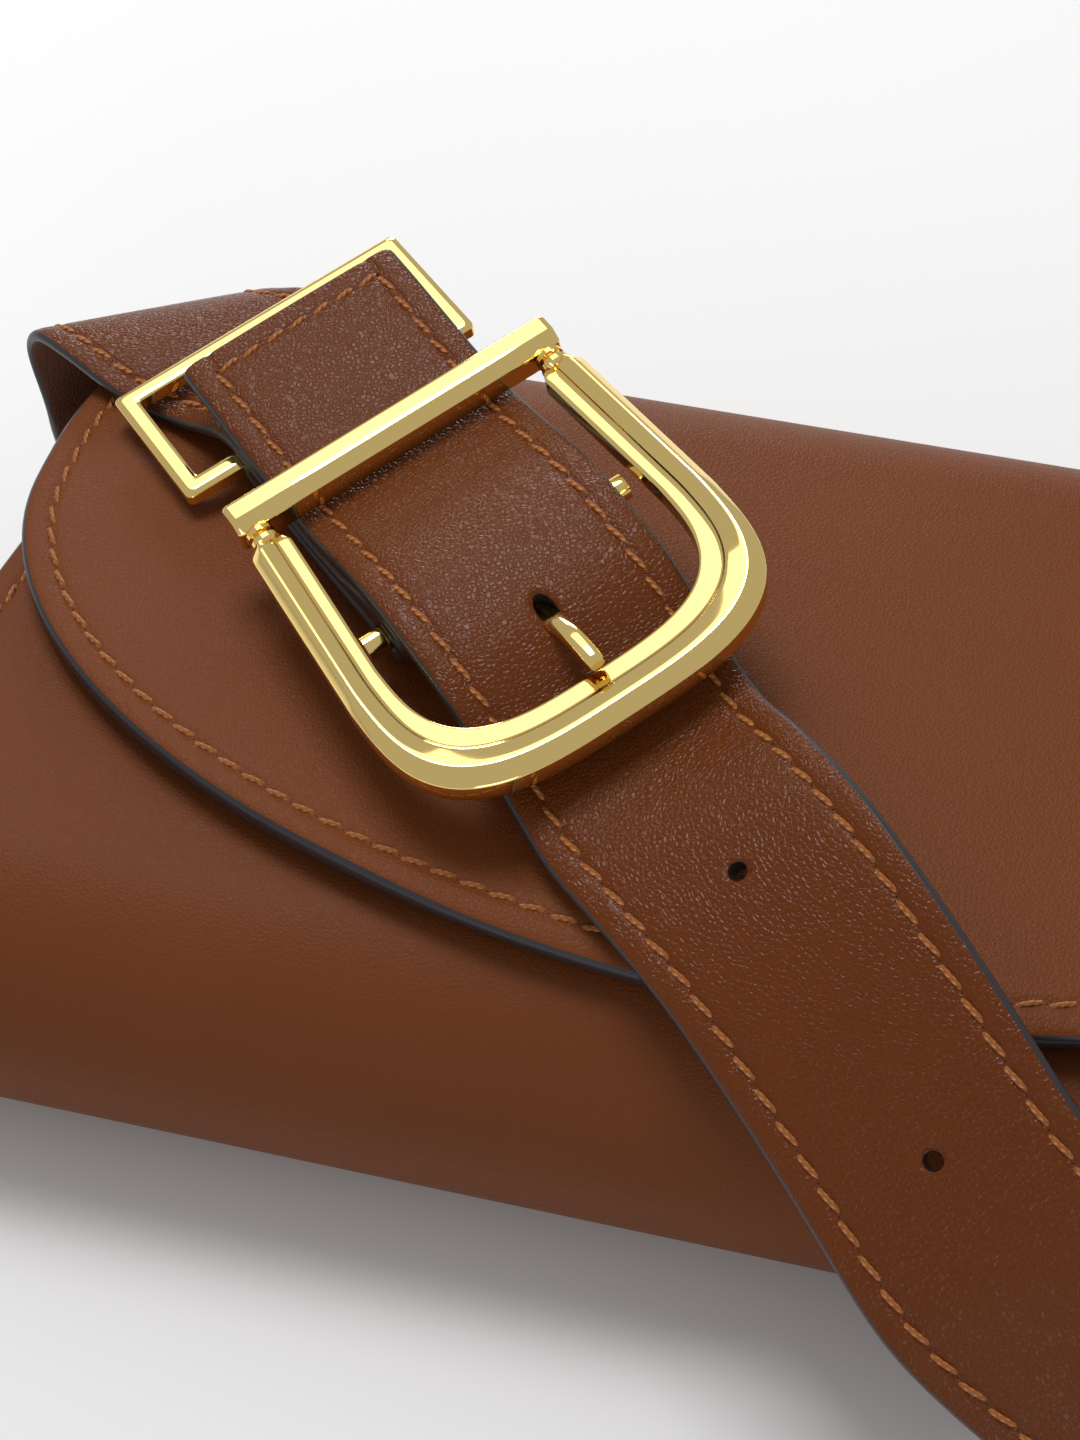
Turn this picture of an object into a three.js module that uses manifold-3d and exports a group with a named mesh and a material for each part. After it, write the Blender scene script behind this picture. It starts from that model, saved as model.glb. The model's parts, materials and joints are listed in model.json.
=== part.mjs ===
// Flap sling bag lying on its back: leather body with end gussets, hinged flap with a magnetic snap,
// and a wide shoulder strap that crosses the flap through a D-shaped pin buckle.
// Millimetres. +Z is up and is the bag's front, +X runs along the bag, -Y is the bag's base.
import * as THREE from "three";
import { mergeVertices } from "three/addons/utils/BufferGeometryUtils.js";
import Module from "manifold-3d";

const wasm = await Module();
wasm.setup();

// ---- driving dimensions ----
const GAP = 0.35; // air kept between pieces that touch
const BASE_HALF = 140; // half length of the body at its base
const SHOULDER_HALF = 122; // half length just below the rounded top corners
const MOUTH_HALF = 107; // half length at the mouth, past the rounded corners
const BASE_Y = -65.5;
const SHOULDER_Y = 45;
const MOUTH_Y = 70;
const BODY_R = 26.5; // radius of the rounded base; the body is two of these thick
const BULGE = 2; // how far the front crowns above flat
const LEATHER = 2.4; // body panel
const LINING = 0.8;
const BOARD = 1.2;
const FLAP_SPACE = 3; // between the front panel and the flap, where the magnets sit
const FLAP_OUTER = 2.0;
const FLAP_INNER = 1.4;
const FLAP_HALF = 127;
const FLAP_ELLIPSE_Y = 19; // centre line of the flap's elliptical lower edge
const FLAP_DROP = 68; // its short semi-axis
const HINGE_Z = 8; // height of both leather hinges
const FLAP_HINGE_Y = 70;

const STRAP_W = 38;
const STRAP_T = 3.0; // long strap
const PLY_T = 2.2; // buckle strap, one ply
const HOLE_R = 1.5;
const HOLE_STEP = 45.8;
const CROSS_ANGLE = (-44 * Math.PI) / 180; // direction in which the strap crosses the front
const CROSS_X = -39; // the punched hole that the prong is in
const CROSS_Y = -7.6;
const PIN_T = -16; // distances along the strap from that hole
const TAIL_T = -75;
const PIN_Z = 74;
const PIN_R = 2;
const BUCKLE_Z = 81.2; // mid height of the frame where the crossbar is
const BUCKLE_TILT = 0.06;
const BAR_T = -41.5;
const ROLL_Z = 77.8; // height about which the buckle end of the strap is rolled

// ---- small helpers ----
const smooth = (a, b, x) => {
  const s = Math.min(1, Math.max(0, (x - a) / (b - a)));
  return s * s * (3 - 2 * s);
};
const mix = (a, b, s) => a + (b - a) * s;
const range = (n) => Array.from({ length: n }, (_, i) => i);

// Closed solid between two grids of points, near(u, v) and far(u, v), with u and v from 0 to 1.
function slab(nu, nv, near, far) {
  const position = [];
  const index = [];
  const add = (p) => position.push(p.x, p.y, p.z) / 3 - 1;
  const grid = [near, far].map((f) =>
    range(nu + 1).map((i) => range(nv + 1).map((j) => add(f(i / nu, j / nv)))),
  );
  const quad = (a, b, c, d) => index.push(a, b, c, a, c, d);
  const [n, f] = grid;
  for (let i = 0; i < nu; i++)
    for (let j = 0; j < nv; j++) {
      quad(n[i][j], n[i + 1][j], n[i + 1][j + 1], n[i][j + 1]);
      quad(f[i][j], f[i][j + 1], f[i + 1][j + 1], f[i + 1][j]);
    }
  for (let i = 0; i < nu; i++) {
    quad(n[i][0], f[i][0], f[i + 1][0], n[i + 1][0]);
    quad(n[i][nv], n[i + 1][nv], f[i + 1][nv], f[i][nv]);
  }
  for (let j = 0; j < nv; j++) {
    quad(n[0][j], n[0][j + 1], f[0][j + 1], f[0][j]);
    quad(n[nu][j], f[nu][j], f[nu][j + 1], n[nu][j + 1]);
  }
  const g = new THREE.BufferGeometry();
  g.setAttribute("position", new THREE.Float32BufferAttribute(position, 3));
  g.setIndex(index);
  return outward(g);
}

// The geometry with its faces turned to point out.
function outward(g) {
  const p = g.getAttribute("position");
  const [a, b, c] = range(3).map(() => new THREE.Vector3());
  let volume = 0;
  for (let i = 0; i < g.index.count; i += 3) {
    [a, b, c].forEach((v, k) => v.fromBufferAttribute(p, g.index.getX(i + k)));
    volume += a.dot(b.cross(c));
  }
  if (volume < 0) g.index.array.reverse();
  return g;
}

function toSolid(geometry) {
  const g = geometry.clone();
  g.deleteAttribute("normal");
  g.deleteAttribute("uv");
  const merged = mergeVertices(g, 1e-4);
  return new wasm.Manifold(
    new wasm.Mesh({
      numProp: 3,
      vertProperties: new Float32Array(merged.attributes.position.array),
      triVerts: new Uint32Array(merged.index.array),
    }),
  );
}

function toGeometry(solid) {
  const m = solid.getMesh();
  const g = new THREE.BufferGeometry();
  g.setAttribute("position", new THREE.BufferAttribute(m.vertProperties, 3));
  g.setIndex(new THREE.BufferAttribute(m.triVerts, 1));
  return g;
}

const cut = (geometry, ...tools) =>
  toGeometry(tools.reduce((s, t) => s.subtract(toSolid(t)), toSolid(geometry)));
const join = (geometry, ...more) =>
  toGeometry(more.reduce((s, t) => s.add(toSolid(t)), toSolid(geometry)));

const framePath = (points) => {
  const s = new THREE.Shape();
  s.moveTo(...points[0]);
  points.slice(1).forEach((p) => s.lineTo(...p));
  return s;
};

const leather = { color: 0x6b3a1f, roughness: 0.5, metalness: 0 };
const darkLeather = { color: 0x4a2513, roughness: 0.55, metalness: 0 };
const fabric = { color: 0xb89a72, roughness: 0.9, metalness: 0 };
const board = { color: 0x8c8275, roughness: 0.9, metalness: 0 };
const gold = { color: 0xf0c552, roughness: 0.12, metalness: 1 };
const steel = { color: 0xb9b9b4, roughness: 0.3, metalness: 1 };

const bag = new THREE.Group();
function piece(name, geometry, look, parent = bag) {
  const mesh = new THREE.Mesh(geometry, new THREE.MeshStandardMaterial(look));
  mesh.name = name;
  parent.add(mesh);
  return mesh;
}

// ---- body: one panel wraps the back, the rounded base and the front ----
// Half length of the body at height y.
function bodyHalf(y) {
  const straight = mix(BASE_HALF, SHOULDER_HALF, (y - BASE_Y) / (SHOULDER_Y - BASE_Y));
  const s = Math.max(0, (y - SHOULDER_Y) / (MOUTH_Y - SHOULDER_Y));
  const baseCorner = 8 * (1 - smooth(BASE_Y, BASE_Y + 16, y));
  return straight - baseCorner - (SHOULDER_HALF - MOUTH_HALF - 3) * s * s;
}

// Profile of the body in Y and Z: a curve of outer points with their inward normals.
const frontZ = (y) => {
  const s = (y - BASE_Y - BODY_R) / (52 - BASE_Y - BODY_R);
  return 2 * BODY_R + BULGE * 4 * s * (1 - s);
};
const backCorner = new THREE.CatmullRomCurve3([
  new THREE.Vector3(0, 68.4, HINGE_Z - GAP - 2),
  new THREE.Vector3(0, 67.6, 2.6),
  new THREE.Vector3(0, 64, 0),
]);
function wrapProfile() {
  const curve = new THREE.CurvePath();
  const cy = BASE_Y + BODY_R;
  curve.add(backCorner);
  curve.add(new THREE.LineCurve3(new THREE.Vector3(0, 64, 0), new THREE.Vector3(0, cy, 0)));
  const points = [...curve.getPoints(6).slice(0, 7)];
  const backSteps = 8;
  for (let i = 1; i < backSteps; i++) points.push(new THREE.Vector3(0, mix(64, cy, i / backSteps), 0));
  const roundSteps = 16;
  for (let i = 0; i <= roundSteps; i++) {
    const a = -Math.PI / 2 - (Math.PI * i) / roundSteps;
    points.push(new THREE.Vector3(0, cy + BODY_R * Math.cos(a), BODY_R + BODY_R * Math.sin(a)));
  }
  const frontSteps = 8;
  for (let i = 1; i <= frontSteps; i++) {
    const y = mix(cy, 52, i / frontSteps);
    points.push(new THREE.Vector3(0, y, frontZ(y)));
  }
  points.push(new THREE.Vector3(0, 57.5, 51.2));
  points.push(new THREE.Vector3(0, 60, 48.5));
  return points;
}
const PROFILE = wrapProfile();
const NORMALS = PROFILE.map((p, i) => {
  const a = PROFILE[Math.max(0, i - 1)];
  const b = PROFILE[Math.min(PROFILE.length - 1, i + 1)];
  const t = b.clone().sub(a).normalize();
  return new THREE.Vector3(0, t.z, -t.y).multiplyScalar(-1);
});
// Point of the profile, moved inward; x is set by the body's half length there less an inset.
function onBody(u, k, depth, inset) {
  const p = PROFILE[k].clone().addScaledVector(NORMALS[k], -depth);
  return new THREE.Vector3(mix(-1, 1, u) * (bodyHalf(PROFILE[k].y) - inset), p.y, p.z);
}
function bodyLayer(from, to, nearDepth, farDepth, inset) {
  const at = (depth) => (u, v) => onBody(u, from + Math.round(v * (to - from)), depth, inset);
  return slab(10, to - from, at(nearDepth), at(farDepth));
}
const LAST = PROFILE.length - 1;
const ROUND_START = 14;
const ROUND_END = 30;

piece("wrap_panel", bodyLayer(0, LAST, 0, LEATHER, 0), leather);
piece("base_board", bodyLayer(ROUND_START, ROUND_END, LEATHER + GAP, LEATHER + GAP + BOARD, 9), board);
const LINING_DEPTH = LEATHER + BOARD + 2 * GAP;
piece("lining", bodyLayer(1, LAST - 1, LINING_DEPTH, LINING_DEPTH + LINING, 9), fabric);

// End gussets close the two ends, just inside the wrap panel.
function gusset(side) {
  const depth = LEATHER + 2 * GAP;
  const outline = PROFILE.map((p, k) => p.clone().addScaledVector(NORMALS[k], -depth)).slice(1, LAST);
  const shape = new THREE.Shape(outline.map((p) => new THREE.Vector2(p.y, p.z)));
  const g = new THREE.ExtrudeGeometry(shape, { depth: 1, bevelEnabled: false, steps: 1 });
  const p = g.getAttribute("position");
  for (let i = 0; i < p.count; i++) {
    const [y, z, s] = [p.getX(i), p.getY(i), p.getZ(i)];
    p.setXYZ(i, side * (bodyHalf(y) - 1 - (1 - s) * 1.8), y, z);
  }
  g.deleteAttribute("normal");
  g.deleteAttribute("uv");
  return outward(mergeVertices(g, 1e-4));
}
piece("gusset_left", gusset(-1), leather);
piece("gusset_right", gusset(1), leather);

// Slip pocket on the back wall, inside.
const POCKET = new THREE.Vector3(120, 58, LINING);
const pocketZ = LINING_DEPTH + LINING + GAP + POCKET.z / 2;
piece("slip_pocket", new THREE.BoxGeometry(POCKET.x, POCKET.y, POCKET.z), fabric).position.set(0, 12, pocketZ);

// ---- magnetic snap ----
const SNAP_Y = -24;
const disc = (r, t) => new THREE.CylinderGeometry(r, r, t, 28).rotateX(Math.PI / 2);
const snap = [
  ["snap_socket", 7, 0.8, frontZ(SNAP_Y) + GAP + 0.6, steel],
  ["snap_socket_washer", 6, 0.5, frontZ(SNAP_Y) - LEATHER - GAP - 0.6, steel],
];
snap.forEach(([name, r, t, z, look]) => piece(name, disc(r, t), look).position.set(0, SNAP_Y, z));

// ---- flap: hinged along the back's top edge, C-shaped round the mouth ----
const FLAP_IN = FLAP_SPACE; // distance of its inner face from the front panel
function flapProfile() {
  const points = [];
  const wallY = FLAP_HINGE_Y - 0.2;
  const topR = 22;
  const frontTop = frontZ(48) + FLAP_IN;
  for (let i = 0; i <= 5; i++) points.push([wallY, mix(HINGE_Z + 0.4, frontTop - topR, i / 5)]);
  for (let i = 1; i <= 8; i++) {
    const a = (Math.PI / 2) * (i / 8);
    points.push([wallY - topR + topR * Math.cos(a), frontTop - topR + topR * Math.sin(a)]);
  }
  const cy = BASE_Y + BODY_R;
  const tip = FLAP_ELLIPSE_Y - FLAP_DROP;
  const start = wallY - topR;
  for (let i = 1; i <= 16; i++) {
    const y = mix(start, tip, i / 16);
    const round = y < cy ? Math.sqrt(Math.max(0, (BODY_R + FLAP_IN) ** 2 - (cy - y) ** 2)) + BODY_R : 0;
    points.push([y, y < cy ? Math.max(round, 50) : frontZ(y) + FLAP_IN]);
  }
  return points.map(([y, z]) => new THREE.Vector3(0, y, z));
}
const FLAP = flapProfile();
const FLAP_N = FLAP.map((p, i) => {
  const t = FLAP[Math.min(FLAP.length - 1, i + 1)].clone().sub(FLAP[Math.max(0, i - 1)]).normalize();
  return new THREE.Vector3(0, t.z, -t.y);
});
function flapHalf(k) {
  const y = FLAP[k].y;
  if (y < FLAP_ELLIPSE_Y) {
    const s = (FLAP_ELLIPSE_Y - y) / FLAP_DROP;
    return Math.max(26, FLAP_HALF * Math.sqrt(Math.max(0, 1 - s * s)));
  }
  const s = (y - FLAP_ELLIPSE_Y) / (FLAP_HINGE_Y - FLAP_ELLIPSE_Y);
  return FLAP_HALF - 25 * s * s * s;
}
function flapLayer(near, far, inset) {
  const at = (depth) => (u, v) => {
    const k = Math.round(v * (FLAP.length - 1));
    const p = FLAP[k].clone().addScaledVector(FLAP_N[k], depth);
    return new THREE.Vector3(mix(-1, 1, u) * (flapHalf(k) - inset), p.y, p.z);
  };
  return slab(12, FLAP.length - 1, at(near), at(far));
}
piece("flap_lining", flapLayer(0, FLAP_INNER, 0.6), darkLeather);
piece("flap_panel", flapLayer(FLAP_INNER + GAP, FLAP_INNER + GAP + FLAP_OUTER, 0), leather);
piece("snap_stud", disc(6, 0.7), steel).position.set(0, SNAP_Y, frontZ(SNAP_Y) + FLAP_IN - GAP - 0.6);

// ---- strap geometry ----
const DIR = new THREE.Vector3(Math.cos(CROSS_ANGLE), Math.sin(CROSS_ANGLE), 0);
const ACROSS = new THREE.Vector3(-DIR.y, DIR.x, 0);
const heightCurve = (keys) => {
  const curve = new THREE.CatmullRomCurve3(
    keys.map(([t, z]) => new THREE.Vector3(t, 0, z)),
    false,
    "centripetal",
  );
  const points = curve.getPoints(200);
  return (t) => {
    const i = Math.max(1, points.findIndex((p) => p.x >= t));
    const [a, b] = [points[i - 1], points[i]];
    return mix(a.z, b.z, Math.min(1, Math.max(0, (t - a.x) / (b.x - a.x))));
  };
};
// Mid height of the long strap, and its roll in degrees: its upper right edge is the higher one.
const overBuckle = heightCurve([
  [-76, 79.4], [-68, 78.7], [-60, 77.6], [-50, 76.2], [BAR_T, 75.8], [-29, 78.2], [-21, 80], [PIN_T, 80.5],
  [-10, 80.2], [0, 77.8], [8, 73.4], [16, 69.9], [24, 69.1], [36, 70.7], [50, 71], [62, 68.8], [80, 63.4],
  [100, 55.6],
]);
const rollDegrees = heightCurve([
  [-116, 0], [-105, 0], [-95, 3], [-86, 8.5], [-77, 11.5], [-12, 11.5], [10, 11.5], [22, 14], [33, 23],
  [45, 30], [60, 35], [80, 37.5], [100, 38],
]);
const rollAt = (along) => (rollDegrees(along) * Math.PI) / 180;
// The strap crosses the front straight. along is the distance from the buckled hole, across its offset
// towards the bag's top right, z its height before the roll.
function crossing(along, across, z) {
  const roll = rollAt(along);
  const axis = mix(ROLL_Z, overBuckle(along), smooth(5, 30, along));
  const h = z - axis;
  const sideways = across * Math.cos(roll) - h * Math.sin(roll);
  return new THREE.Vector3(CROSS_X, CROSS_Y, axis + across * Math.sin(roll) + h * Math.cos(roll))
    .addScaledVector(DIR, along)
    .addScaledVector(ACROSS, sideways);
}
// Mid surface of the long strap from its tail to where it leaves the bag.
const overBag = (along, across) => crossing(along, across, overBuckle(along));

// The free loop runs from the bag's base round its right end to a leg that stands by the right corner.
const FREE_FROM = 98;
const LEG_X = 130;
const LEG_FOOT = HINGE_Z + GAP;
const LEG_T = -109.5; // the left leg's distance behind the buckled hole
const LEG_SHIFT = -5.5; // and its sideways shift at the foot
const FOLD_SHIFT = -11; // and where it folds over
const FOLD_SLANT = 0.32; // how obliquely it folds over, per unit across
const start = overBag(FREE_FROM, 0);
const startAcross = overBag(FREE_FROM, 6).sub(overBag(FREE_FROM, -6)).normalize();
const before = overBag(FREE_FROM - 16, 0);
// Centre, then width direction.
const LOOP = [
  [start.x, start.y, start.z, startAcross.x, startAcross.y, startAcross.z],
  [59, -88, 45, 0.46, 0.52, 0.72],
  [90, -93, 35, 0.3, 0.46, 0.83],
  [121, -92, 27, 0.15, 0.4, 0.9],
  [150, -82, 22, 0.02, 0.3, 0.95],
  [174, -62, 20, -0.05, 0.15, 0.98],
  [186, -32, 20.8, 0, 0.05, 1],
  [187.5, 0, 22.5, 0.15, 0.1, 0.98],
  [180, 29, 26, 0.45, 0.35, 0.8],
  [165, 51, 31.5, 0.45, 0.8, 0.35],
  [150, 64, 36, 0.15, 0.98, 0],
  [138, FLAP_HINGE_Y - 1, 34.5, 0, 1, 0],
  [LEG_X + 1.5, FLAP_HINGE_Y, 27, 0, 1, 0],
  [LEG_X, FLAP_HINGE_Y, 17, 0, 1, 0],
  [LEG_X, FLAP_HINGE_Y, LEG_FOOT, 0, 1, 0],
];
const loopLine = new THREE.CatmullRomCurve3(
  [before, ...LOOP.map((k) => new THREE.Vector3(k[0], k[1], k[2])), new THREE.Vector3(LEG_X, FLAP_HINGE_Y, 0)],
  false,
  "centripetal",
);
const firstSpan = 1 / (LOOP.length + 1);
function onLoop(s) {
  const f = mix(firstSpan, 1 - firstSpan, s);
  const k = s * (LOOP.length - 1);
  const i = Math.min(LOOP.length - 2, Math.floor(k));
  const e = smooth(0, 1, k - i);
  const width = new THREE.Vector3(
    ...[3, 4, 5].map((c) => mix(LOOP[i][c], LOOP[i + 1][c], mix(k - i, e, 0.5))),
  );
  const tangent = loopLine.getTangent(f);
  width.addScaledVector(tangent, -width.dot(tangent)).normalize();
  return { centre: loopLine.getPoint(f), width };
}

const BAG_STEPS = 46;
const LOOP_STEPS = 44;
const PASS = FREE_FROM - TAIL_T;
// Mid surface of the whole long strap, s from 0 at the tail to 1 at the chape.
function longStrap(s, across) {
  const k = s * (BAG_STEPS + LOOP_STEPS);
  if (k <= BAG_STEPS) return overBag(TAIL_T + (PASS * k) / BAG_STEPS, across);
  const at = onLoop((k - BAG_STEPS) / LOOP_STEPS);
  return at.centre.addScaledVector(at.width, across);
}
// Both faces of a strap of a given thickness about a mid surface.
function faces(mid, width, thickness, nu, nv) {
  const normal = (u, v) => {
    const e = 0.5 / nu;
    const a = mid(Math.max(0, u - e), (v - 0.5) * width);
    const b = mid(Math.min(1, u + e), (v - 0.5) * width);
    const c = mid(u, (v - 0.5) * width - 2);
    const d = mid(u, (v - 0.5) * width + 2);
    return b.sub(a).cross(d.sub(c)).normalize();
  };
  const at = (side) => (u, v) =>
    mid(u, (v - 0.5) * width).addScaledVector(normal(u, v), (side * thickness) / 2);
  return slab(nu, nv, at(1), at(-1));
}
// A cutting tool turned to the strap and set through it, at a given height before the roll.
const throughStrap = (tool, along, z) => {
  const p = crossing(along, 0, z);
  return tool.rotateX(rollAt(along)).rotateZ(CROSS_ANGLE).translate(p.x, p.y, p.z);
};
const CUT_DEPTH = 12;
const punch = (along) =>
  throughStrap(
    new THREE.CylinderGeometry(HOLE_R, HOLE_R, CUT_DEPTH, 16).rotateX(Math.PI / 2),
    along,
    overBuckle(along),
  );
// The prong's hole is long enough for the prong to lift a little while it is buckled.
const prongHole = throughStrap(new THREE.BoxGeometry(11.5, 4.2, CUT_DEPTH), -1.25, ROLL_Z);
piece(
  "long_strap",
  cut(
    faces(longStrap, STRAP_W, STRAP_T, BAG_STEPS + LOOP_STEPS, 4),
    prongHole,
    punch(HOLE_STEP),
    punch(2 * HOLE_STEP - 3),
  ),
  leather,
);

// ---- chapes: tabs at the two top corners of the back, which the strap's legs stand on ----
const CHAPE_Y = 67; // they stop here, short of the swinging legs
const CHAPE_T = 2.2;
const CHAPE_Z = 0.6;
// outline is the tab in plan, foot the part of it that rises under the leg, and studs the rivets.
function chape(side, outline, foot, studs) {
  const raise = (points, from, to) =>
    new THREE.ExtrudeGeometry(framePath(points), { depth: to - from, bevelEnabled: false }).translate(0, 0, from);
  const tab = raise(outline, CHAPE_Z, CHAPE_Z + CHAPE_T);
  piece(`chape_${side}`, join(tab, raise(foot, CHAPE_Z, HINGE_Z - GAP)), leather);
  studs.forEach(([x, y], i) => {
    const r = piece(`rivet_${side}_${i + 1}`, new THREE.CylinderGeometry(2.2, 2.5, 1.2, 20), gold);
    r.rotation.x = Math.PI / 2;
    r.position.set(x, y, CHAPE_Z + CHAPE_T + GAP + 0.6);
  });
}
// Plan position in the left leg's own frame: out from its mid surface along the strap, and across it.
const onLeg = (out, across) => [
  CROSS_X + (LEG_T + out) * DIR.x + (LEG_SHIFT + across) * ACROSS.x,
  CROSS_Y + (LEG_T + out) * DIR.y + (LEG_SHIFT + across) * ACROSS.y,
];
const upTo = (out) => (CHAPE_Y - onLeg(out, 0)[1]) / ACROSS.y; // across at CHAPE_Y
const [outer, inner, seam, stud] = [-PLY_T / 2, PLY_T / 2, 7, 4.1];
chape(
  "left",
  [onLeg(outer, -19), onLeg(seam, -19), onLeg(seam, upTo(seam)), onLeg(outer, upTo(outer))],
  [onLeg(outer, -19), onLeg(inner, -19), onLeg(inner, upTo(inner)), onLeg(outer, upTo(outer))],
  [onLeg(stud, -15), onLeg(stud, -5)],
);
const legHalf = STRAP_T / 2;
chape(
  "right",
  [[LEG_X + legHalf, 51], [LEG_X + legHalf, CHAPE_Y], [109.6, CHAPE_Y], [116.8, 60], [121.6, 51]],
  [[LEG_X + legHalf, 51], [LEG_X + legHalf, CHAPE_Y], [LEG_X - legHalf, CHAPE_Y], [LEG_X - legHalf, 51]],
  [[124.6, 55], [122.6, 63]],
);

// ---- buckle strap: corner leg, over the flap, under and over the slide ring, round the pin and back ----
const WRAP_R = PIN_R + GAP + PLY_T / 2 + 0.2;
function bucklePath() {
  const top = [
    [LEG_T, LEG_FOOT], [LEG_T + 0.2, 20], [LEG_T + 1, 34], [LEG_T + 2.2, 46], [LEG_T + 3, 56],
    [LEG_T + 7, 63.2], [LEG_T + 14, 66.2], [-88, 66.5], [-82, 66.9], [-77, 67.7], [-71, 70], [-66, 72.3],
    [-61, 73.5], [-52, 72.9],
    [BAR_T, 71.6], [-29, 73.4], [-22, 76.4],
  ];
  const wrap = range(9).map((i) => {
    const a = Math.PI / 2 - (Math.PI * i) / 8 + 0.15;
    return [PIN_T + WRAP_R * Math.cos(a), PIN_Z + WRAP_R * Math.sin(a)];
  });
  const back = [[-24, 69.9], [-33, 68.5], [-42, 68], [-52, 67.3], [-60, 66.9], [-66, 66.8]];
  return new THREE.CatmullRomCurve3(
    [...top, ...wrap, ...back].map(([t, z]) => new THREE.Vector3(t, 0, z)),
    false,
    "centripetal",
  );
}
const BUCKLE_PATH = bucklePath();
const BUCKLE_STEPS = 76;
const BUCKLE_POINTS = BUCKLE_PATH.getSpacedPoints(BUCKLE_STEPS * 4);
// The strap drifts sideways behind the ring, and its fold there is oblique.
function buckleStrap(s, across) {
  const k = s * BUCKLE_STEPS * 4;
  const i = Math.min(BUCKLE_STEPS * 4 - 1, Math.floor(k));
  const p = BUCKLE_POINTS[i].clone().lerp(BUCKLE_POINTS[i + 1], k - i);
  const behind = 1 - smooth(-104, -62, p.x);
  const oblique = FOLD_SLANT * across * (1 - smooth(-102, -84, p.x)) * smooth(46, 60, p.z);
  const shift = mix(LEG_SHIFT, FOLD_SHIFT, smooth(10, 48, p.z)) * behind;
  const at = crossing(p.x, across + shift, p.z);
  return at.addScaledVector(DIR, oblique);
}
// A slot at the turn of the strap lets the prong's eye through.
const SLOT_LENGTH = 17.6;
const SLOT_WIDTH = 5;
piece(
  "buckle_strap",
  cut(
    faces(buckleStrap, STRAP_W, PLY_T, BUCKLE_STEPS, 2),
    throughStrap(new THREE.BoxGeometry(SLOT_LENGTH, SLOT_WIDTH, 14), PIN_T + 5, PIN_Z + 0.5),
  ),
  leather,
);
// ---- metal parts lie in frames turned to the strap: local X along it, local Y across ----
function strapFrame(along, z, tilt = 0) {
  const g = new THREE.Group();
  g.position.copy(crossing(along, 0, z));
  g.rotation.set(rollAt(along), tilt, CROSS_ANGLE, "ZXY");
  bag.add(g);
  return g;
}

// Slide ring: a flat rectangular ring threaded on the buckle strap.
const RING = { length: 52, width: 25, bar: 3.2, shift: -2.7 };
const ringFrame = strapFrame(-72, 70.9, 0.03);
function ringShape() {
  const [x, y, b] = [RING.width / 2, RING.length / 2, RING.bar];
  const outer = framePath([[-x, -y], [x, -y], [x, y], [-x, y]]);
  outer.holes.push(framePath([[-x + b, -y + b], [-x + b, y - b], [x - b, y - b], [x - b, -y + b]]));
  return outer;
}
const ringBody = new THREE.ExtrudeGeometry(ringShape(), {
  depth: 1.2, bevelEnabled: true, bevelSize: 0, bevelThickness: 0.6, bevelOffset: 0, bevelSegments: 1,
});
ringBody.translate(0, RING.shift, -0.6);
piece("slide_ring", ringBody, gold, ringFrame);

// Buckle: D-shaped frame, crossbar, pin bar and prong, tilted a little down towards the round end.
const tilt = Math.atan(BUCKLE_TILT);
const buckle = strapFrame(BAR_T, BUCKLE_Z, tilt);
const FRAME_T = 5.6;
function frameOutline(half, flare, end, corner, from) {
  // Straight sides from the crossbar end, then a rounded, slightly pointed end.
  const points = [];
  points.push([from, -half]);
  const steps = 22;
  for (let i = 0; i <= steps; i++) {
    const a = -Math.PI / 2 + (Math.PI * i) / steps;
    const e = 0.62;
    const x = end - corner + corner * Math.sign(Math.cos(a)) * Math.abs(Math.cos(a)) ** e;
    points.push([x, (half + flare) * Math.sign(Math.sin(a)) * Math.abs(Math.sin(a)) ** e]);
  }
  points.push([from, half]);
  return points;
}
const OUT = frameOutline(28.4, 2.2, 62, 24, 5.6);
const IN = frameOutline(21.8, 2, 53, 19, 5.6);
const frameShape = framePath([...OUT, ...[...IN].reverse()]);
const BEVEL = 0.9;
const frameBody = new THREE.ExtrudeGeometry(frameShape, {
  depth: FRAME_T - 2 * BEVEL, bevelEnabled: true, bevelSize: BEVEL, bevelOffset: -BEVEL, bevelThickness: BEVEL,
  bevelSegments: 1,
}).translate(0, 0, -FRAME_T / 2 + BEVEL);
const neck = (side) =>
  new THREE.CylinderGeometry(2, 2, 3.8, 16).rotateZ(Math.PI / 2).translate(5.1, side * 25.1, 0);
piece("buckle_frame", join(frameBody, neck(1), neck(-1)), gold, buckle);
const bar = new THREE.BoxGeometry(5.6, 55.6, 5.4);
piece("buckle_crossbar", bar, gold, buckle);

const pinFrame = strapFrame(PIN_T, PIN_Z);
const PIN_HALF = 21.4;
piece("pin_bar", new THREE.CylinderGeometry(PIN_R, PIN_R, 2 * PIN_HALF, 24), gold, pinFrame);
// Prong: an eye on the pin bar and a curved tongue that rises through the hole to the frame's inner ledge.
const tongueLine = new THREE.CatmullRomCurve3(
  [[3, 0.6], [7.5, 0.9], [11.5, 2], [15.5, 4], [19, 5.8], [22, 6.8], [25, 7], [27.2, 6.9]].map(
    ([x, z]) => new THREE.Vector3(x, 0, z),
  ),
);
const tongueSection = new THREE.Shape();
tongueSection.absellipse(0, 0, 1.3, 1.45, 0, 2 * Math.PI);
const tongue = new THREE.ExtrudeGeometry(tongueSection, {
  steps: 18, bevelEnabled: false, extrudePath: tongueLine, curveSegments: 8,
});
const eyeShape = new THREE.Shape();
eyeShape.absarc(0, 0, 3.8, 0, 2 * Math.PI);
const eyeHole = new THREE.Path();
eyeHole.absarc(0, 0, PIN_R + 0.3, 0, 2 * Math.PI);
eyeShape.holes.push(eyeHole);
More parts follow.
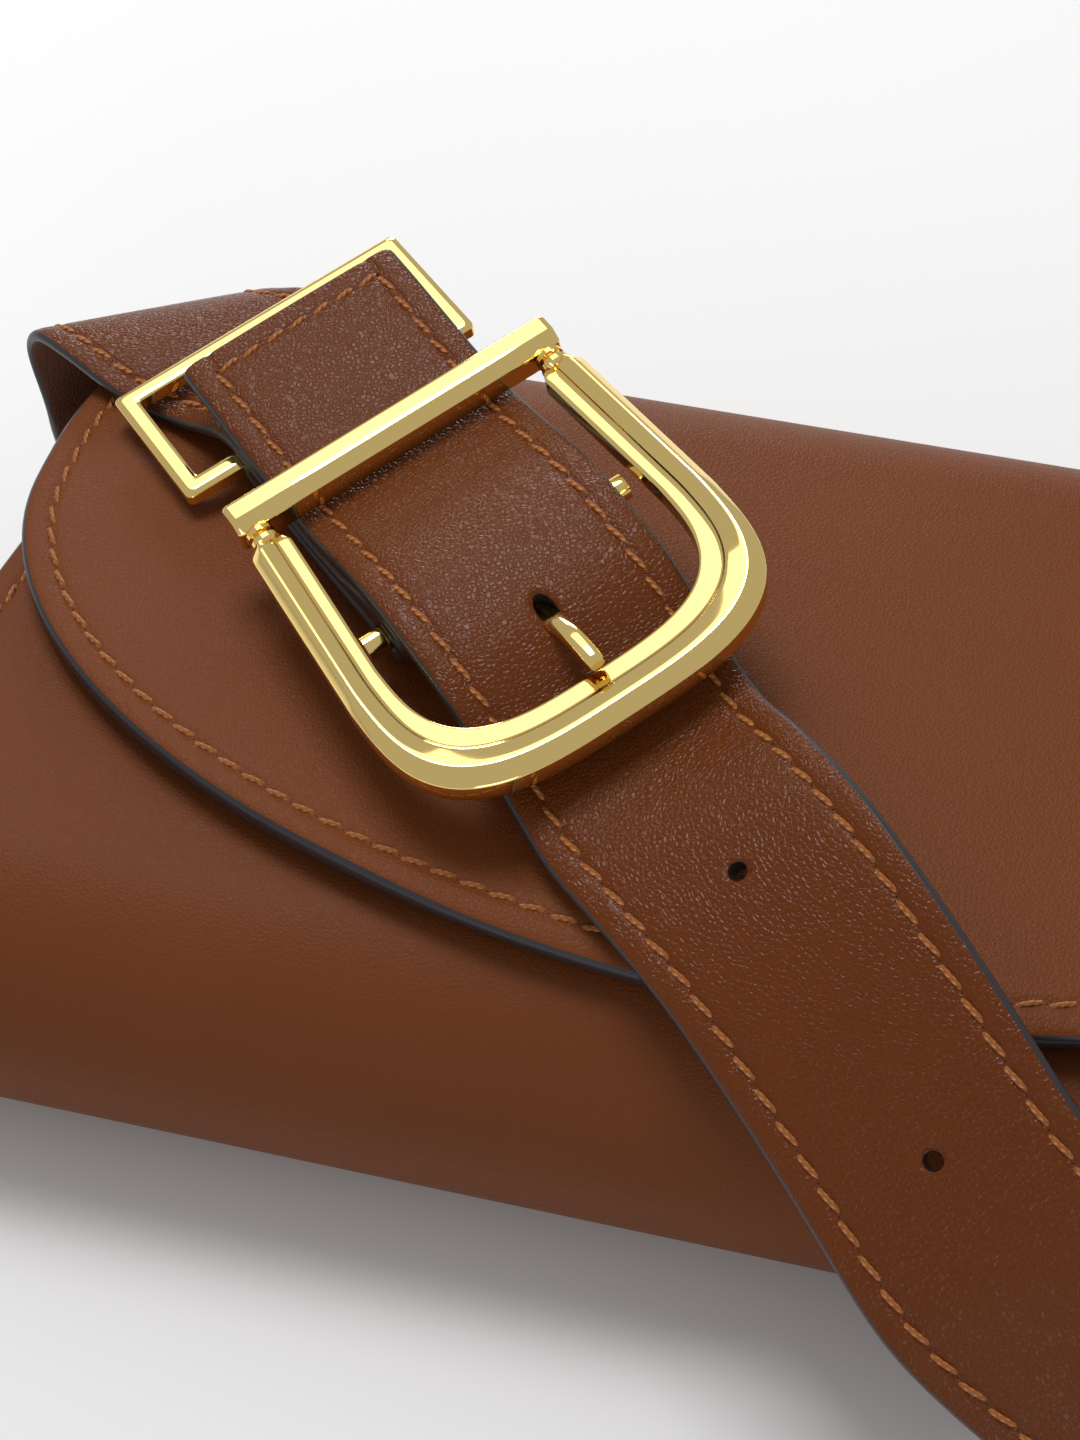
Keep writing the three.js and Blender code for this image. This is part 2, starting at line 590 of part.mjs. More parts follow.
const eye = new THREE.ExtrudeGeometry(eyeShape, { depth: 3, bevelEnabled: false, curveSegments: 16 })
  .translate(0, 0, -1.5)
  .rotateX(Math.PI / 2);
piece("prong", join(eye, tongue), gold, pinFrame);

export default bag;
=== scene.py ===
# Looks for the flap sling bag: grained leather panels, painted edges, thread stitches and polished
# gold hardware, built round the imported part. Lengths are worked out in millimetres and stored in metres.
import json
import math
import random

import bmesh
import bpy
import numpy as np
from mathutils import Matrix, Vector


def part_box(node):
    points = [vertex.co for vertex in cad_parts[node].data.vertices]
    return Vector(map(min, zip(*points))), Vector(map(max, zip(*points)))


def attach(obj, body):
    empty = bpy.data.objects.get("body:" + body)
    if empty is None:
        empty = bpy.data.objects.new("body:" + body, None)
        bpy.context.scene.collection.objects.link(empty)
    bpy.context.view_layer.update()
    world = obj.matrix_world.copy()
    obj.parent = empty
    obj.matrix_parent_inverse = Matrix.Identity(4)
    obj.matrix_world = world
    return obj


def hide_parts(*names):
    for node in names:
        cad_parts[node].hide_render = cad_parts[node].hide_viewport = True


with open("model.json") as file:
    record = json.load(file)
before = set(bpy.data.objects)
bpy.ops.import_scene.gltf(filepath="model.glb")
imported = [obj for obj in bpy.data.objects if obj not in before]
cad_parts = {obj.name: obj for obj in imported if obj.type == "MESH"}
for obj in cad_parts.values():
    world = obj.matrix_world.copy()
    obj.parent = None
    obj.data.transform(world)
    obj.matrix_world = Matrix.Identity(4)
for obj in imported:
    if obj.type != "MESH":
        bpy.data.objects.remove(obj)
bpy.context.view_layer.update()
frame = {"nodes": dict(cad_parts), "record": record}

random.seed(7)
MM = 0.001
record = frame["record"]
joint = {j["name"]: j for j in record["behaviour"]["joints"]}


def box_mm(node):
    lo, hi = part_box(node)
    return np.array(lo) / MM, np.array(hi) / MM


# ---------------------------------------------------------------- materials
def new_material(name):
    mat = bpy.data.materials.new(name)
    mat.use_nodes = True
    nodes = mat.node_tree.nodes
    return mat, nodes, mat.node_tree.links, nodes["Principled BSDF"]


def uv_node(nodes):
    node = nodes.new("ShaderNodeUVMap")
    node.uv_map = "UVMap"
    return node.outputs["UV"]


TONE_SPREAD = 0.10


def add(nodes, kind, values, **settings):
    """A shader node with its settings and the values of its open inputs."""
    node = nodes.new("ShaderNode" + kind)
    for key, value in settings.items():
        setattr(node, key, value)
    for key, value in values.items():
        node.inputs[key].default_value = value
    return node


def leather(name, color, rough, grain, spec=0.25):
    """Smooth pebbled leather. The grain is drawn in the flat pattern's own coordinates."""
    mat, nodes, links, bsdf = new_material(name)
    uv = uv_node(nodes)
    warp = add(nodes, "TexNoise", {"Scale": 420, "Detail": 2})
    mixed = add(nodes, "VectorMath", {1: (0.0009, 0.0009, 0.0009)}, operation="MULTIPLY_ADD")
    links.new(uv, warp.inputs["Vector"])
    links.new(warp.outputs["Color"], mixed.inputs[0])
    links.new(uv, mixed.inputs[2])
    cells = add(nodes, "TexVoronoi", {"Scale": 1350}, feature="DISTANCE_TO_EDGE")
    links.new(mixed.outputs["Vector"], cells.inputs["Vector"])
    cell_ramp = add(nodes, "MapRange", {"From Min": 0.0, "From Max": 0.28}, interpolation_type="SMOOTHSTEP")
    links.new(cells.outputs["Distance"], cell_ramp.inputs["Value"])
    fine = add(nodes, "TexNoise", {"Scale": 2600, "Detail": 3})
    links.new(uv, fine.inputs["Vector"])
    height = add(nodes, "Math", {1: 0.45}, operation="MULTIPLY_ADD")
    links.new(fine.outputs["Fac"], height.inputs[0])
    links.new(cell_ramp.outputs["Result"], height.inputs[2])
    bump = add(nodes, "Bump", {"Strength": grain, "Distance": 0.00022})
    links.new(height.outputs["Value"], bump.inputs["Height"])
    links.new(bump.outputs["Normal"], bsdf.inputs["Normal"])
    # Slow, faint changes of tone and gloss.
    cloud = add(nodes, "TexNoise", {"Scale": 26, "Detail": 3})
    links.new(uv, cloud.inputs["Vector"])
    dark = tuple(c * (1 - TONE_SPREAD) for c in color)
    light = tuple(min(1, c * (1 + TONE_SPREAD)) for c in color)
    tone = add(nodes, "Mix", {"A": (*dark, 1), "B": (*light, 1)}, data_type="RGBA")
    links.new(cloud.outputs["Fac"], tone.inputs["Factor"])
    links.new(tone.outputs["Result"], bsdf.inputs["Base Color"])
    gloss = add(nodes, "MapRange", {"To Min": rough - 0.05, "To Max": rough + 0.05})
    links.new(cloud.outputs["Fac"], gloss.inputs["Value"])
    links.new(gloss.outputs["Result"], bsdf.inputs["Roughness"])
    bsdf.inputs["Specular IOR Level"].default_value = spec
    return mat


def plain(name, color, rough, metal=0.0, spec=0.5):
    mat, nodes, links, bsdf = new_material(name)
    bsdf.inputs["Base Color"].default_value = (*color, 1)
    bsdf.inputs["Roughness"].default_value = rough
    bsdf.inputs["Metallic"].default_value = metal
    bsdf.inputs["Specular IOR Level"].default_value = spec
    return mat


PLY_LENGTH = 1.15  # along the thread, for one turn of its twist


def thread_material(name, color):
    """Twisted thread: its plies are drawn along and round each stitch."""
    mat, nodes, links, bsdf = new_material(name)
    split = nodes.new("ShaderNodeSeparateXYZ")
    links.new(uv_node(nodes), split.inputs["Vector"])
    ply = add(nodes, "Math", {1: 2 * math.pi * 1000 / PLY_LENGTH}, operation="MULTIPLY_ADD")
    around = add(nodes, "Math", {1: 2 * math.pi * 2}, operation="MULTIPLY")
    links.new(split.outputs["Y"], around.inputs[0])
    links.new(split.outputs["X"], ply.inputs[0])
    links.new(around.outputs["Value"], ply.inputs[2])
    wave = add(nodes, "Math", {}, operation="SINE")
    links.new(ply.outputs["Value"], wave.inputs[0])
    bump = add(nodes, "Bump", {"Strength": 0.7, "Distance": 0.0002})
    links.new(wave.outputs["Value"], bump.inputs["Height"])
    links.new(bump.outputs["Normal"], bsdf.inputs["Normal"])
    # Painted shade: the grooves between the plies are darkened to 0.55 of the thread colour, on the same wave
    # as the bump.
    shade = add(nodes, "MapRange", {"From Min": -1})
    links.new(wave.outputs["Value"], shade.inputs["Value"])
    dark = tuple(c * 0.55 for c in color)
    tone = add(nodes, "Mix", {"A": (*dark, 1), "B": (*color, 1)}, data_type="RGBA")
    links.new(shade.outputs["Result"], tone.inputs["Factor"])
    links.new(tone.outputs["Result"], bsdf.inputs["Base Color"])
    bsdf.inputs["Roughness"].default_value = 0.6
    return mat


def weave(name, color):
    """A plain woven cloth."""
    mat, nodes, links, bsdf = new_material(name)
    uv = uv_node(nodes)
    bump = add(nodes, "Bump", {"Strength": 0.5, "Distance": 0.0002})
    total = add(nodes, "Math", {}, operation="MULTIPLY")
    for i, direction in enumerate(("X", "Y")):
        wave = add(nodes, "TexWave", {"Scale": 220, "Distortion": 0.6}, bands_direction=direction)
        links.new(uv, wave.inputs["Vector"])
        links.new(wave.outputs["Fac"], total.inputs[i])
    links.new(total.outputs["Value"], bump.inputs["Height"])
    links.new(bump.outputs["Normal"], bsdf.inputs["Normal"])
    bsdf.inputs["Base Color"].default_value = (*color, 1)
    bsdf.inputs["Roughness"].default_value = 0.85
    return mat


LEATHER = leather("body leather", (0.134, 0.038, 0.011), rough=0.46, grain=0.24, spec=0.09)
FLAP_LEATHER = leather("flap leather", (0.141, 0.038, 0.009), rough=0.45, grain=0.30, spec=0.11)
STRAP_LEATHER = leather("strap leather", (0.108, 0.025, 0.003), rough=0.27, grain=0.40, spec=0.17)
INNER = leather("inner leather", (0.095, 0.036, 0.016), rough=0.6, grain=0.3)
EDGE = plain("edge paint", (0.020, 0.017, 0.020), 0.38)
THREAD = thread_material("thread", (0.50, 0.165, 0.035))
# Near-black painted shade for the insides of the needle holes.
NEEDLE_HOLE_SHADE = plain("needle hole painted shade", (0.016, 0.007, 0.004), 0.8, spec=0.1)
LINING = weave("lining cloth", (0.46, 0.33, 0.2))
GOLD = plain("polished gold", (1.0, 0.74, 0.27), 0.07, metal=1.0)
STEEL = plain("snap metal", (0.70, 0.66, 0.55), 0.22, metal=1.0)
BOARD = plain("base board", (0.26, 0.22, 0.18), 0.8)


# ---------------------------------------------------------------- mesh helpers
def smooth(a, b, x):
    s = np.clip((np.asarray(x, float) - a) / (b - a), 0, 1)
    return s * s * (3 - 2 * s)


def mix(a, b, s):
    return a + (b - a) * s


def unit(v):
    return v / np.maximum(1e-12, np.linalg.norm(v, axis=-1, keepdims=True))


def catmull(p, k, t):
    """Points of the Catmull-Rom span from p[1] to p[2], with knots k, at parameters t."""
    a1 = (k[1] - t) / (k[1] - k[0]) * p[0] + (t - k[0]) / (k[1] - k[0]) * p[1]
    a2 = (k[2] - t) / (k[2] - k[1]) * p[1] + (t - k[1]) / (k[2] - k[1]) * p[2]
    a3 = (k[3] - t) / (k[3] - k[2]) * p[2] + (t - k[2]) / (k[3] - k[2]) * p[3]
    b1 = (k[2] - t) / (k[2] - k[0]) * a1 + (t - k[0]) / (k[2] - k[0]) * a2
    b2 = (k[3] - t) / (k[3] - k[1]) * a2 + (t - k[1]) / (k[3] - k[1]) * a3
    return (k[2] - t) / (k[2] - k[1]) * b1 + (t - k[1]) / (k[2] - k[1]) * b2


def knots(p):
    """Centripetal knots of four points."""
    k = [0.0]
    for a, b in zip(p[:-1], p[1:]):
        k.append(k[-1] + max(1e-6, np.linalg.norm(b - a)) ** 0.5)
    return k


def centripetal(points, count):
    """A Catmull-Rom curve through the points, evenly spaced along its length."""
    p = np.asarray(points, float)
    p = np.vstack([2 * p[0] - p[1], p, 2 * p[-1] - p[-2]])
    out = []
    for i in range(1, len(p) - 2):
        k = knots(p[i - 1:i + 3])
        t = np.linspace(k[1], k[2], 24, endpoint=(i == len(p) - 3))[:, None]
        out.append(catmull(p[i - 1:i + 3], k, t))
    return even(np.vstack(out), count)


def lengths(p):
    """Distance along a line at each of its points."""
    return np.concatenate([[0], np.cumsum(np.linalg.norm(np.diff(p, axis=0), axis=1))])


def even(p, count):
    """The same line with evenly spaced points."""
    s = lengths(p)
    at = np.linspace(0, s[-1], count)
    return np.stack([np.interp(at, s, p[:, k]) for k in range(p.shape[1])], 1)


def linked(name, data):
    ob = bpy.data.objects.new(name, data)
    bpy.context.scene.collection.objects.link(ob)
    return ob


def make(name, verts, faces, mats, face_mats=None, uvs=None, sharp=None, weld=False):
    """A smooth mesh object. Vertices and flat-pattern coordinates are given in millimetres."""
    me = bpy.data.meshes.new(name)
    me.from_pydata([tuple(v) for v in np.asarray(verts, float) * MM], [], [tuple(map(int, f)) for f in faces])
    for m in mats:
        me.materials.append(m)
    if face_mats is not None:
        me.polygons.foreach_set("material_index", np.asarray(face_mats, np.int32))
    me.polygons.foreach_set("use_smooth", np.ones(len(me.polygons), bool))
    layer = me.uv_layers.new(name="UVMap")
    if uvs is not None:
        index = np.zeros(len(me.loops), np.int32)
        me.loops.foreach_get("vertex_index", index)
        layer.data.foreach_set("uv", (np.asarray(uvs, float)[index] * MM).astype(np.float32).ravel())
    me.update()
    bm = bmesh.new()
    bm.from_mesh(me)
    if weld:
        bmesh.ops.remove_doubles(bm, verts=bm.verts, dist=1e-7)
    bmesh.ops.recalc_face_normals(bm, faces=bm.faces)
    bm.to_mesh(me)
    bm.free()
    ob = linked(name, me)
    if sharp is not None:
        me.set_sharp_from_angle(angle=math.radians(sharp))
    return ob


def finish_piece(ob, body, nodes=()):
    """Makes a piece ride on a body and hides the imported nodes it stands for."""
    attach(ob, body)
    if nodes:
        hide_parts(*nodes)
    return ob


def offset(outline, inset):
    """A closed outline moved inward, with the folds at its tight corners smoothed out."""
    edge = np.roll(outline, -1, 0) - outline
    ahead = unit(edge)
    size = np.linalg.norm(edge, axis=1)
    tangent = unit(ahead + np.roll(ahead, 1, 0))
    ring = outline + np.stack([-tangent[:, 1], tangent[:, 0]], 1) * inset
    for _ in range(120):
        step = np.roll(ring, -1, 0) - ring
        folded = np.sum(step * ahead, 1) < 0.12 * size
        if not folded.any():
            break
        moved = folded | np.roll(folded, 1)
        ring[moved] = (0.5 * (np.roll(ring, 1, 0) + np.roll(ring, -1, 0)))[moved]
    return ring


def slab(name, outline, surf, top, under, mats, rings, body="body", nodes=()):
    """A leather panel cut to a flat outline and laid on surf(flat, height).
    top and under are rows of (inset, height, material) from the middle out to the cut edge.
    The panel's inside is filled with rings that shrink to a short line in its middle."""
    n = len(outline)
    lo, hi = outline.min(0), outline.max(0)
    middle = (lo + hi) / 2
    half = (hi - lo) / 2
    long_axis = int(half[1] > half[0])
    snap = 3
    reach = round((half[long_axis] - half[1 - long_axis]) * 0.55 / snap) * snap
    target = np.tile(middle, (n, 1))
    snapped = middle[long_axis] + np.round((outline[:, long_axis] - middle[long_axis]) / snap) * snap
    target[:, long_axis] = np.clip(snapped, middle[long_axis] - reach, middle[long_axis] + reach)
    rows = []
    kinds = []

    def fill(section):
        inset, height, kind = section[0]
        ring = offset(outline, inset)
        return [(mix(target, ring, k / rings), height, kind) for k in range(rings)]

    edge = [(offset(outline, inset), height, kind) for inset, height, kind in list(top) + list(under)[::-1]]
    for flat, height, kind in fill(top) + edge + fill(under)[::-1]:
        rows.append((flat, height))
        kinds.append(kind)
    verts = np.vstack([surf(flat, np.full(n, h)) for flat, h in rows])
    uvs = np.vstack([flat for flat, h in rows])
    faces = []
    face_mats = []
    for r in range(len(rows) - 1):
        a, b = r * n, (r + 1) * n
        for i in range(n):
            j = (i + 1) % n
            faces.append((a + i, b + i, b + j, a + j))
            face_mats.append(kinds[r])
    ob = make(name, verts, faces, mats, face_mats, uvs, weld=True)
    return finish_piece(ob, body, nodes)


def ribbon(name, mid, length, section, mats, step, ends):
    """A strap: section is its closed outline in (across, height, material); mid(l, a) is its middle surface.
    ends says which end is cut square and painted; the other is left inside something."""
    cut = [0, 0.08, 0.3, 0.7, 1.2, 2.0, 3.4, 3.9, END_INSET, 4.7, 5.2]
    inner = np.linspace(6.2, length - 6.2, max(4, int((length - 12) / step)))
    along = np.concatenate([cut, inner, length - np.array(cut)[::-1]])
    near = np.minimum(along if ends[0] else along + 99, (length - along) if ends[1] else 99 + along)
    lift = np.sqrt(np.clip(1 - (1 - np.clip(near / 1.3, 0, 1)) ** 2, 0.0004, 1))
    narrow = 1 - 0.045 * (1 - smooth(0, 1.4, near))
    groove = 0.3 * np.clip(1 - np.abs(near - END_INSET) / 0.85, 0, 1)
    a0 = np.array([p[0] for p in section])
    h0 = np.array([p[1] for p in section])
    kinds = [p[2] for p in section]
    m = len(section)
    verts, uvs = [], []
    for l, up, thin, dip in zip(along, lift, narrow, groove):
        a = a0 * thin
        h = h0 * up
        h = h - dip * np.sign(h) * (np.abs(a) < STITCH_A)
        points, normals = mid_frame(mid, l, a, length)
        verts.append(points + normals * h[:, None])
        uvs.append(np.stack([np.full(m, l), a], 1))
    verts, uvs = np.vstack(verts), np.vstack(uvs)
    faces, face_mats = [], []
    for r in range(len(along) - 1):
        painted = near[r] < 0.65 and near[r + 1] < 1.0
        for i in range(m):
            j = (i + 1) % m
            faces.append((r * m + i, r * m + j, (r + 1) * m + j, (r + 1) * m + i))
            face_mats.append(1 if painted else kinds[i])
    last = (len(along) - 1) * m
    faces.append(tuple(range(m - 1, -1, -1)))
    faces.append(tuple(range(last, last + m)))
    face_mats += [1, 1]
    return make(name, verts, faces, mats, face_mats, uvs)


def mid_frame(mid, l, a, length):
    """Points of a middle surface and its normals, at distance l along and offsets a across."""
    e = 0.6
    points = mid(l, a)
    ahead = mid(min(length, l + e), a) - mid(max(0, l - e), a)
    side = mid(l, a + 0.5) - mid(l, a - 0.5)
    return points, unit(np.cross(ahead, side))


def strap_section(half, thick, crown=0.12):
    """Closed outline of a stitched strap with painted round edges: (across, height, material)."""
    t = thick / 2
    stitch = STITCH_A
    right = [
        (0, t + crown), (2.4, t + crown * 0.98), (5, t + crown * 0.9), (10, t + crown * 0.5),
        (stitch - 1.3, t), (stitch - 0.8, t - 0.06), (stitch - 0.4, t - 0.22), (stitch, t - 0.3),
        (stitch + 0.4, t - 0.22), (stitch + 0.8, t - 0.05), (stitch + 1.4, t), (half - 2, t - 0.02),
        (half - 1.2, t - 0.12), (half - 0.62, t * 0.80), (half - 0.25, t * 0.6), (half - 0.05, t * 0.3),
        (half, 0),
    ]
    low = [
        (half - 0.05, -t * 0.3), (half - 0.25, -t * 0.6), (half - 0.62, -t * 0.80),
        (half - 1.3, -t * 0.97), (stitch, -t), (stitch - 7, -t), (2.4, -t), (0, -t),
    ]
    loop = right + low + [(-a, h) for a, h in low[-2::-1]] + [(-a, h) for a, h in right[:0:-1]]
    out = []
    # Each strip between two points is edge paint, the outer face or the inner face.
    for (a, h), (next_a, next_h) in zip(loop, loop[1:] + loop[:1]):
        if abs((a + next_a) / 2) > half - 0.9:
            kind = 1
        else:
            kind = 0 if h + next_h > 0 else 2
        out.append((a, h, kind))
    return out


def stitches(name, line, normals, pitch, body, thread=0.42, sink=0.42, rise=0.16, closed=False):
    """A row of thread stitches along a line that lies on leather, with a near-black bead of painted shade
    sunk in each needle's hole between each two.
    """
    fill, slant = 0.86, 0.16
    s = lengths(line)
    total = s[-1]
    count = max(2, int(round(total / pitch)))
    step = total / count

    def at(values, where):
        where = np.mod(where, total) if closed else np.clip(where, 0, total)
        return np.stack([np.interp(where, s, values[:, k]) for k in range(3)], 1)

    verts, faces, uvs, kinds = [], [], [], []
    base = 0
    sides, segs = 8, 9
    angle = np.linspace(0, 2 * np.pi, sides, endpoint=False)
    for i in range(count):
        a = i * step + step * (1 - fill) / 2 + random.uniform(-0.08, 0.08)
        b = (i + 1) * step - step * (1 - fill) / 2 + random.uniform(-0.08, 0.08)
        k = np.linspace(0, 1, segs)
        where = mix(a, b, k)
        p = at(line, where)
        n = unit(at(normals, where))
        t = unit(at(line, where + 0.2) - at(line, where - 0.2))
        side = np.cross(n, t)
        arch = np.sin(np.pi * np.clip(k, 0, 1)) ** 0.55
        tilt = (k - 0.5) * 2 * slant * step * 0.5 * random.uniform(0.8, 1.2)
        centre = p + n * (-sink + (sink + rise) * arch)[:, None] + side * tilt[:, None]
        tangent = unit(np.gradient(centre, axis=0))
        n2 = unit(n - tangent * np.sum(n * tangent, 1, keepdims=True))
        s2 = np.cross(tangent, n2)
        fat = thread * (0.8 + 0.2 * arch)
        ring = np.cos(angle)[None, :, None] * n2[:, None] + np.sin(angle)[None, :, None] * s2[:, None]
        v = (centre[:, None] + ring * fat[:, None, None]).reshape(-1, 3)
        verts.append(v)
        uvs.append(np.stack([np.repeat(where, sides), np.tile(np.arange(sides) / sides * 1000, segs)], 1))
        for r in range(segs - 1):
            for q in range(sides):
                w = (q + 1) % sides
                faces.append((base + r * sides + q, base + r * sides + w, base + (r + 1) * sides + w,
                              base + (r + 1) * sides + q))
                kinds.append(0)
        faces.append(tuple(base + q for q in range(sides - 1, -1, -1)))
        faces.append(tuple(base + (segs - 1) * sides + q for q in range(sides)))
        kinds += [0, 0]
        base += segs * sides
    # Needle holes: small flattened beads sunk in the leather, coloured near-black as painted shade inside the
    # holes.
    hole_sides = 8
    for i in range(count + (0 if closed else 1)):
        where = np.array([i * step])
        p, n = at(line, where)[0], unit(at(normals, where))[0]
        t = unit(at(line, where + 0.2) - at(line, where - 0.2))[0]
        side = np.cross(n, t)
        ang = np.linspace(0, 2 * np.pi, hole_sides, endpoint=False)
        rim = p + np.outer(np.cos(ang), t) * 0.42 + np.outer(np.sin(ang), side) * 0.5 - n * 0.28
        top = p + np.outer(np.cos(ang), t) * 0.22 + np.outer(np.sin(ang), side) * 0.28 - n * 0.02
        verts.append(np.vstack([rim, top, [p + n * 0.05]]))
        uvs.append(np.zeros((2 * hole_sides + 1, 2)))
        for q in range(hole_sides):
            w = (q + 1) % hole_sides
            faces.append((base + q, base + w, base + hole_sides + w, base + hole_sides + q))
            faces.append((base + hole_sides + q, base + hole_sides + w, base + 2 * hole_sides))
            kinds += [1, 1]
        faces.append(tuple(base + q for q in range(hole_sides - 1, -1, -1)))
        kinds.append(1)
        base += 2 * hole_sides + 1
    ob = make(name, np.vstack(verts), faces, [THREAD, NEEDLE_HOLE_SHADE], kinds, np.vstack(uvs))
    return finish_piece(ob, body)


def strap_row(name, mid, length, places, pitch, height):
    """A stitch row on a strap, through places given as (distance along, offset across)."""
    points, normals = [], []
    for l, a in places:
        p, n = mid_frame(mid, l, np.array([a]), length)
        points.append(p[0] + n[0] * height)
        normals.append(n[0] * np.sign(height))
    stitches(name, np.array(points), np.array(normals), pitch, "strap")


def run(name, mid, length, a, span, pitch, height):
    """A stitch row along a strap at offset a, from span[0] to span[1]."""
    where = np.linspace(span[0], span[1], max(20, int((span[1] - span[0]) / 1.5)))
    strap_row(name, mid, length, [(l, a) for l in where], pitch, height)


def run_across(name, mid, length, l, height):
    """A stitch row across a strap at distance l, between its two long rows."""
    places = [(l, a) for a in np.linspace(-STITCH_A, STITCH_A, 24)]
    strap_row(name, mid, length, places, 4.4, height)


# ---------------------------------------------------------------- the strap's line over the bag
PIN = np.array(joint["buckle_tilt"]["pos_m"]) / MM
BUCKLE_AXIS = unit(np.array(joint["buckle_tilt"]["axis"], float))
ROLL = math.asin(BUCKLE_AXIS[2])
ACROSS = unit(BUCKLE_AXIS * np.array([1, 1, 0]))
DIR = np.array([ACROSS[1], -ACROSS[0], 0.0])
ROLL_Z = 77.8
HINGE_Y, HINGE_Z = np.array(joint["flap_hinge"]["pos_m"])[1:] / MM
PIN_T, PIN_Z = -16.0, 74.0
HOLE = PIN - DIR * PIN_T + ACROSS * math.sin(ROLL) * (PIN_Z - ROLL_Z)
HALF = 19.0  # half the straps' width
STRAP_T, PLY_T = 3.0, 2.2
STITCH_A = 14.6  # stitch rows, from the strap's middle
END_INSET = 4.3  # stitch row at a cut end
GAP = 0.35


def key_curve(keys):
    p = centripetal([(t, z) for t, z in keys], 400)
    return lambda t: np.interp(t, p[:, 0], p[:, 1])


TAIL_T, BAR_T = -75.0, -41.5
# Mid height of the long strap and its roll in degrees, against the distance from the buckled hole.
over_buckle = key_curve([
    (-76, 79.4), (-68, 78.7), (-60, 77.6), (-50, 76.2), (BAR_T, 75.8), (-29, 78.2), (-21, 80), (PIN_T, 80.5),
    (-10, 80.2), (0, 77.8), (8, 73.4), (16, 69.9), (24, 69.1), (36, 70.7), (50, 71), (62, 68.8), (80, 63.4),
    (100, 55.6),
])
roll_degrees = key_curve([
    (-116, 0), (-105, 0), (-95, 3), (-86, 8.5), (-77, 11.5), (-12, 11.5), (10, 11.5), (22, 14), (33, 23),
    (45, 30), (60, 35), (80, 37.5), (100, 38),
])


def crossing(along, across, z):
    """Place on the strap's straight run: z is the height before the strap's roll."""
    along, across, z = np.broadcast_arrays(*(np.asarray(v, float) for v in (along, across, z)))
    roll = np.radians(roll_degrees(along))
    axis = mix(ROLL_Z, over_buckle(along), smooth(5, 30, along))
    h = z - axis
    sideways = across * np.cos(roll) - h * np.sin(roll)
    p = HOLE * np.array([1, 1, 0]) + along[..., None] * DIR + sideways[..., None] * ACROSS
    p[..., 2] = axis + across * np.sin(roll) + h * np.cos(roll)
    return p


def over_bag(along, across):
    """Middle surface of the long strap while it lies over the bag."""
    return crossing(along, across, over_buckle(along))


FREE_FROM = 98.0
LEG_X = 130.0
LEG_FOOT = HINGE_Z + GAP
start = over_bag(FREE_FROM, np.array([0.0]))[0]
start_across = unit(over_bag(FREE_FROM, np.array([6.0]))[0] - over_bag(FREE_FROM, np.array([-6.0]))[0])
before = over_bag(FREE_FROM - 16, np.array([0.0]))[0]
LOOP = np.array([
    [*start, *start_across],
    [59, -88, 45, 0.46, 0.52, 0.72],
    [90, -93, 35, 0.3, 0.46, 0.83],
    [121, -92, 27, 0.15, 0.4, 0.9],
    [150, -82, 22, 0.02, 0.3, 0.95],
    [174, -62, 20, -0.05, 0.15, 0.98],
    [186, -32, 20.8, 0, 0.05, 1],
    [187.5, 0, 22.5, 0.15, 0.1, 0.98],
    [180, 29, 26, 0.45, 0.35, 0.8],
    [165, 51, 31.5, 0.45, 0.8, 0.35],
    [150, 64, 36, 0.15, 0.98, 0],
    [138, HINGE_Y - 1, 34.5, 0, 1, 0],
    [LEG_X + 1.5, HINGE_Y, 27, 0, 1, 0],
    [LEG_X, HINGE_Y, 17, 0, 1, 0],
    [LEG_X, HINGE_Y, LEG_FOOT, 0, 1, 0],
])


def loop_curve():
    """Centre and width direction along the free loop, evenly spaced."""
    full = np.vstack([[*before, *start_across], LOOP, [LEG_X, HINGE_Y, 0, 0, 1, 0]])
    p = full[:, :3]
    line, width = [], []
    for i in range(1, len(p) - 2):
        k = knots(p[i - 1:i + 3])
        t = np.linspace(k[1], k[2], 30, endpoint=(i == len(p) - 3))[:, None]
        line.append(catmull(p[i - 1:i + 3], k, t))
        e = smooth(0, 1, (t - k[1]) / (k[2] - k[1])) * 0.5 + 0.5 * (t - k[1]) / (k[2] - k[1])
        width.append(full[i, 3:] * (1 - e) + full[i + 1, 3:] * e)
    line, width = np.vstack(line), np.vstack(width)
    for _ in range(12):
        width[1:-1] = (width[:-2] + 2 * width[1:-1] + width[2:]) / 4
    tangent = unit(np.gradient(line, axis=0))
    width = unit(width - tangent * np.sum(width * tangent, 1, keepdims=True))
    return line, width


LOOP_LINE, LOOP_WIDTH = loop_curve()
LOOP_S = lengths(LOOP_LINE)
# Distance along the strap over the bag, against the flat distance across it.
FLAT_T = np.linspace(TAIL_T, FREE_FROM, 350)
FLAT_CENTRE = np.vstack([over_bag(t, np.array([0.0])) for t in FLAT_T])
FLAT_S = lengths(FLAT_CENTRE)
LONG_LENGTH = FLAT_S[-1] + LOOP_S[-1]


def flat_at(l):
    return float(np.interp(l, FLAT_S, FLAT_T))


def length_at(t):
    return float(np.interp(t, FLAT_T, FLAT_S))


def long_mid(l, a):
    """Middle surface of the long strap at distance l from its tail: over the bag, then the free loop."""
    a = np.atleast_1d(np.asarray(a, float))
    if l <= FLAT_S[-1]:
        return over_bag(flat_at(l), a)
    s = l - FLAT_S[-1]
    centre = np.array([np.interp(s, LOOP_S, LOOP_LINE[:, k]) for k in range(3)])
    width = unit(np.array([np.interp(s, LOOP_S, LOOP_WIDTH[:, k]) for k in range(3)]))
    return centre[None] + a[:, None] * width[None]


